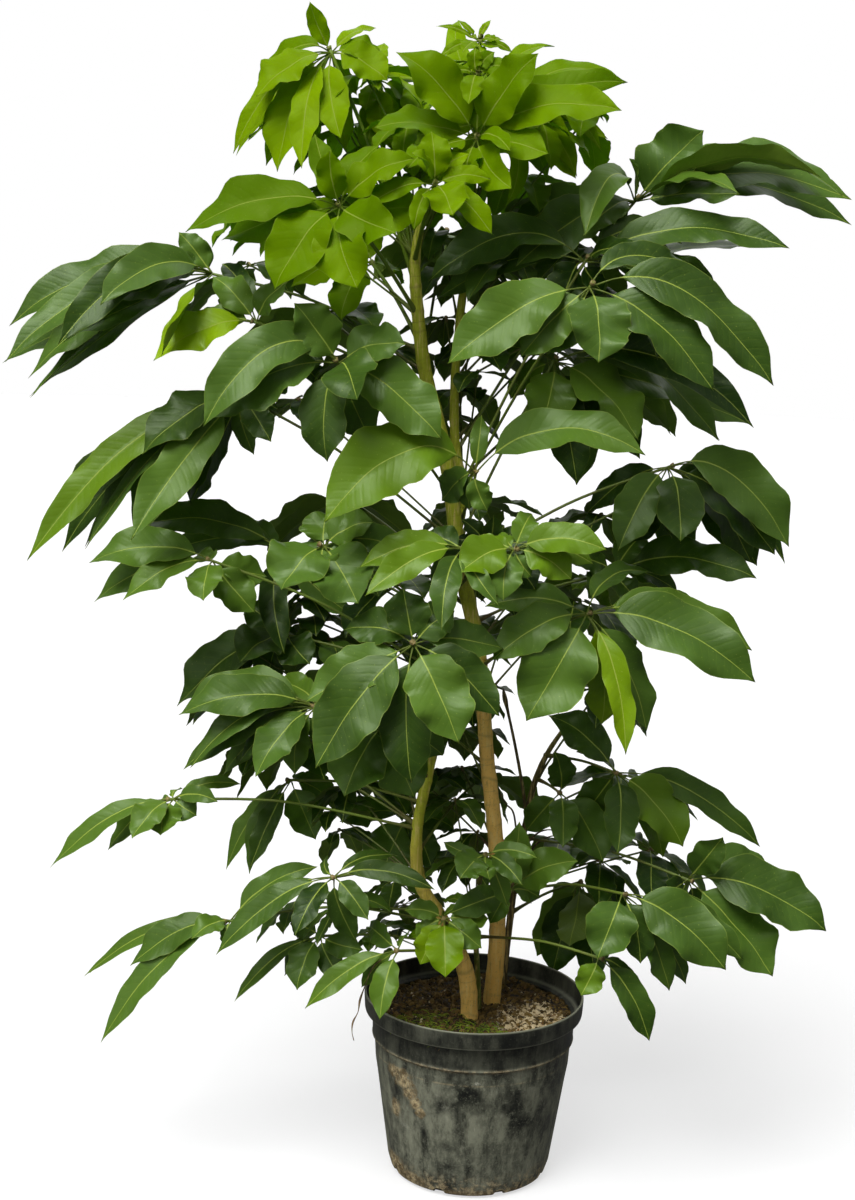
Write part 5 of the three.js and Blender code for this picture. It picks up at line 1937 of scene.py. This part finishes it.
class PLANT_OT_soil(bpy.types.Operator):
    """Makes the soil, with its crumbs, bark chips, perlite and moss"""

    bl_idname = "plant.make_soil"
    bl_label = "Make soil"

    def execute(self, context):
        settings = context.scene.plant_soil
        bed = linked("compost", soil_mesh(settings.relief))
        bed.data.materials.append(soil_material(settings))
        dressed(bed, "soil", "soil")
        crumbs = scatter_tree()
        threads = thread_tree()
        kinds = [
            ("soil_crumbs", crumbs, "soil_crumb", settings.dark, settings.fibre, {
                "Density": 36000.0, "Seed": 3, "Smallest": 1.4 * MM, "Largest": 6.4 * MM,
            }),
            ("soil_chips", crumbs, "bark_chip", settings.brown, tint(140, 104, 62), {
                "Density": 4200.0, "Seed": 5, "Smallest": 2.5 * MM, "Largest": 8.0 * MM,
                "Shape": (1.0, 0.32, 0.16),
            }),
            ("perlite", crumbs, "perlite_grain", tint(150, 130, 92), settings.perlite, {
                "Density": 115000.0, "Seed": 7, "Smallest": 1.2 * MM, "Largest": 4.6 * MM,
                "Centre": (0.1, -0.045, 0.255), "Reach": 0.07,
            }),
            ("sand_grains", crumbs, "sand_grain", tint(96, 82, 58), tint(176, 158, 122), {
                "Density": 60000.0, "Seed": 8, "Smallest": 0.8 * MM, "Largest": 2.6 * MM,
                "Centre": (0.066, -0.012, 0.256), "Reach": 0.055,
            }),
            ("perlite_stray", crumbs, "perlite_loose", tint(132, 112, 80), settings.perlite, {
                "Density": 2600.0, "Seed": 9, "Smallest": 0.9 * MM, "Largest": 2.8 * MM,
            }),
            ("moss_threads", threads, "moss_thread", tint(58, 80, 14), settings.moss, {
                "Density": 26000.0, "Seed": 13, "Centre": (-0.075, -0.09, 0.255), "Reach": 0.085,
            }),
            ("moss_tufts", threads, "moss_tuft", tint(62, 96, 18), settings.moss, {
                "Density": 60000.0, "Seed": 17, "Centre": (0.018, -0.1, 0.255), "Reach": 0.04,
                "Length": 9.0 * MM, "Arch": 7.0 * MM, "Tilt": 1.0,
            }),
            ("soil_roots", threads, "dry_root", tint(92, 64, 36), tint(158, 124, 78), {
                "Density": 1900.0, "Seed": 19, "Length": 24.0 * MM, "Arch": 5.0 * MM,
                "Thickness": 0.35 * MM,
            }),
        ]
        for name, tree, label, dark, light, values in kinds:
            ground, _ = soil_top(settings.relief)
            mesh = settled(name + "_ground", ground)
            values["Material"] = crumb_material(label, dark, light)
            dressed(grown(name, mesh, tree, values), "soil")
        return {"FINISHED"}


# Stage


def stage_piece(name, shape, material):
    """A piece of the stage, with its material."""
    mesh = settled(name, shape)
    mesh.shade_smooth()
    mesh.materials.append(material)
    piece = linked(name, mesh)
    piece.visible_diffuse = False
    piece.visible_glossy = False
    return piece


def glowing(maker, settings):
    """The backdrop's own white light."""
    glow = {"Color": full(settings.backdrop_colour), "Strength": 1.0}
    return maker.node("ShaderNodeEmission", {}, glow).outputs[0]


def make_backdrop(settings):
    """A white floor, and a wide white dome that the camera sees behind the plant."""
    material, maker = new_material("floor_paper")
    paper = maker.node("ShaderNodeBsdfPrincipled", {}, {
        "Base Color": full(settings.floor_colour), "Roughness": 0.9, "Specular IOR Level": 0.1,
    })
    inputs = {0: settings.floor_glow, 1: paper.outputs[0], 2: glowing(maker, settings)}
    mixed = maker.node("ShaderNodeMixShader", {}, inputs).outputs[0]
    shape = bmesh.new()
    bmesh.ops.create_circle(shape, cap_ends=True, segments=96, radius=DOME_RADIUS)
    stage_piece("floor", shape, shown(maker, material, mixed))
    material, maker = new_material("backdrop_white")
    shape = bmesh.new()
    bmesh.ops.create_uvsphere(shape, u_segments=96, v_segments=48, radius=DOME_RADIUS * 1.02)
    bmesh.ops.reverse_faces(shape, faces=shape.faces)
    dome = stage_piece("backdrop", shape, shown(maker, material, glowing(maker, settings)))
    dome.visible_transmission = False
    dome.visible_shadow = False


def make_lights(settings):
    """Soft light from all sides, a strong one from the upper left and weak ones from three more sides."""
    world = bpy.data.worlds.new("soft_sky")
    bpy.context.scene.world = world
    world.use_nodes = True
    sky = world.node_tree.nodes["Background"]
    sky.inputs["Color"].default_value = (1.0, 1.0, 1.0, 1.0)
    sky.inputs["Strength"].default_value = settings.sky_strength
    lights = [
        ("key_light", (-0.32, -0.5, 1.0), 36, settings.key_strength),
        ("front_light", (-0.8, -1.0, 0.3), 50, settings.front_strength),
        ("fill_light", (0.7, -0.5, 0.8), 60, settings.fill_strength),
        ("rear_light", (0.15, 0.8, 0.8), 60, settings.rear_strength),
    ]
    for name, way, width, strength in lights:
        way = Vector(way)
        lamp = bpy.data.lights.new(name, "SUN")
        lamp.angle = math.radians(width)
        lamp.energy = strength
        turn = way.to_track_quat("Z", "Y").to_matrix().to_4x4()
        linked(name, lamp).matrix_world = Matrix.Translation(way * LIGHT_DISTANCE) @ turn


def make_camera():
    """The camera of the photograph: a little above the plant's middle, looking slightly down."""
    lens = bpy.data.cameras.new("photo_camera")
    lens.sensor_width = SENSOR
    lens.lens = FOCUS_PIXELS / PHOTO_HEIGHT * SENSOR
    lens.shift_y = SHIFT_PIXELS / PHOTO_HEIGHT
    lens.clip_end = 60.0
    camera = linked("photo_camera", lens)
    camera.matrix_world = camera_matrix()
    bpy.context.scene.camera = camera
    bpy.context.scene.view_settings.view_transform = "Standard"


class PLANT_OT_stage(bpy.types.Operator):
    """Makes the floor and backdrop, the soft lights and the camera"""

    bl_idname = "plant.make_stage"
    bl_label = "Make stage"

    def execute(self, context):
        settings = context.scene.plant_stage
        make_backdrop(settings)
        make_lights(settings)
        make_camera()
        return {"FINISHED"}


class PLANT_PT_panel(bpy.types.Panel):
    bl_idname = "PLANT_PT_panel"
    bl_label = "Umbrella plant"
    bl_space_type = "VIEW_3D"
    bl_region_type = "UI"
    bl_category = "Umbrella plant"

    def draw(self, context):
        for group in SETTINGS:
            box = self.layout.box()
            settings = getattr(context.scene, group)
            for name in settings.bl_rna.properties.keys():
                if name not in ("rna_type", "name"):
                    box.prop(settings, name)
        for operator in OPERATORS:
            self.layout.operator(operator.bl_idname)


SETTINGS = {
    "plant_pot": PotSettings,
    "plant_soil": SoilSettings,
    "plant_stem": StemSettings,
    "plant_leaf": LeafSettings,
    "plant_stage": StageSettings,
}
OPERATORS = [
    PLANT_OT_stage, PLANT_OT_pot, PLANT_OT_soil, PLANT_OT_stems, PLANT_OT_twigs, PLANT_OT_leaves,
]


def register():
    for group, settings in SETTINGS.items():
        bpy.utils.register_class(settings)
        setattr(bpy.types.Scene, group, bpy.props.PointerProperty(type=settings))
    for operator in OPERATORS:
        bpy.utils.register_class(operator)
    bpy.utils.register_class(PLANT_PT_panel)


def unregister():
    bpy.utils.unregister_class(PLANT_PT_panel)
    for operator in reversed(OPERATORS):
        bpy.utils.unregister_class(operator)
    for group, settings in SETTINGS.items():
        delattr(bpy.types.Scene, group)
        bpy.utils.unregister_class(settings)


def main():
    register()
    bpy.ops.plant.make_stage()
    bpy.ops.plant.make_pot()
    bpy.ops.plant.make_soil()
    bpy.ops.plant.make_stems()
    bpy.ops.plant.make_twigs()
    bpy.ops.plant.make_leaves()


if __name__ == "__main__":
    main()
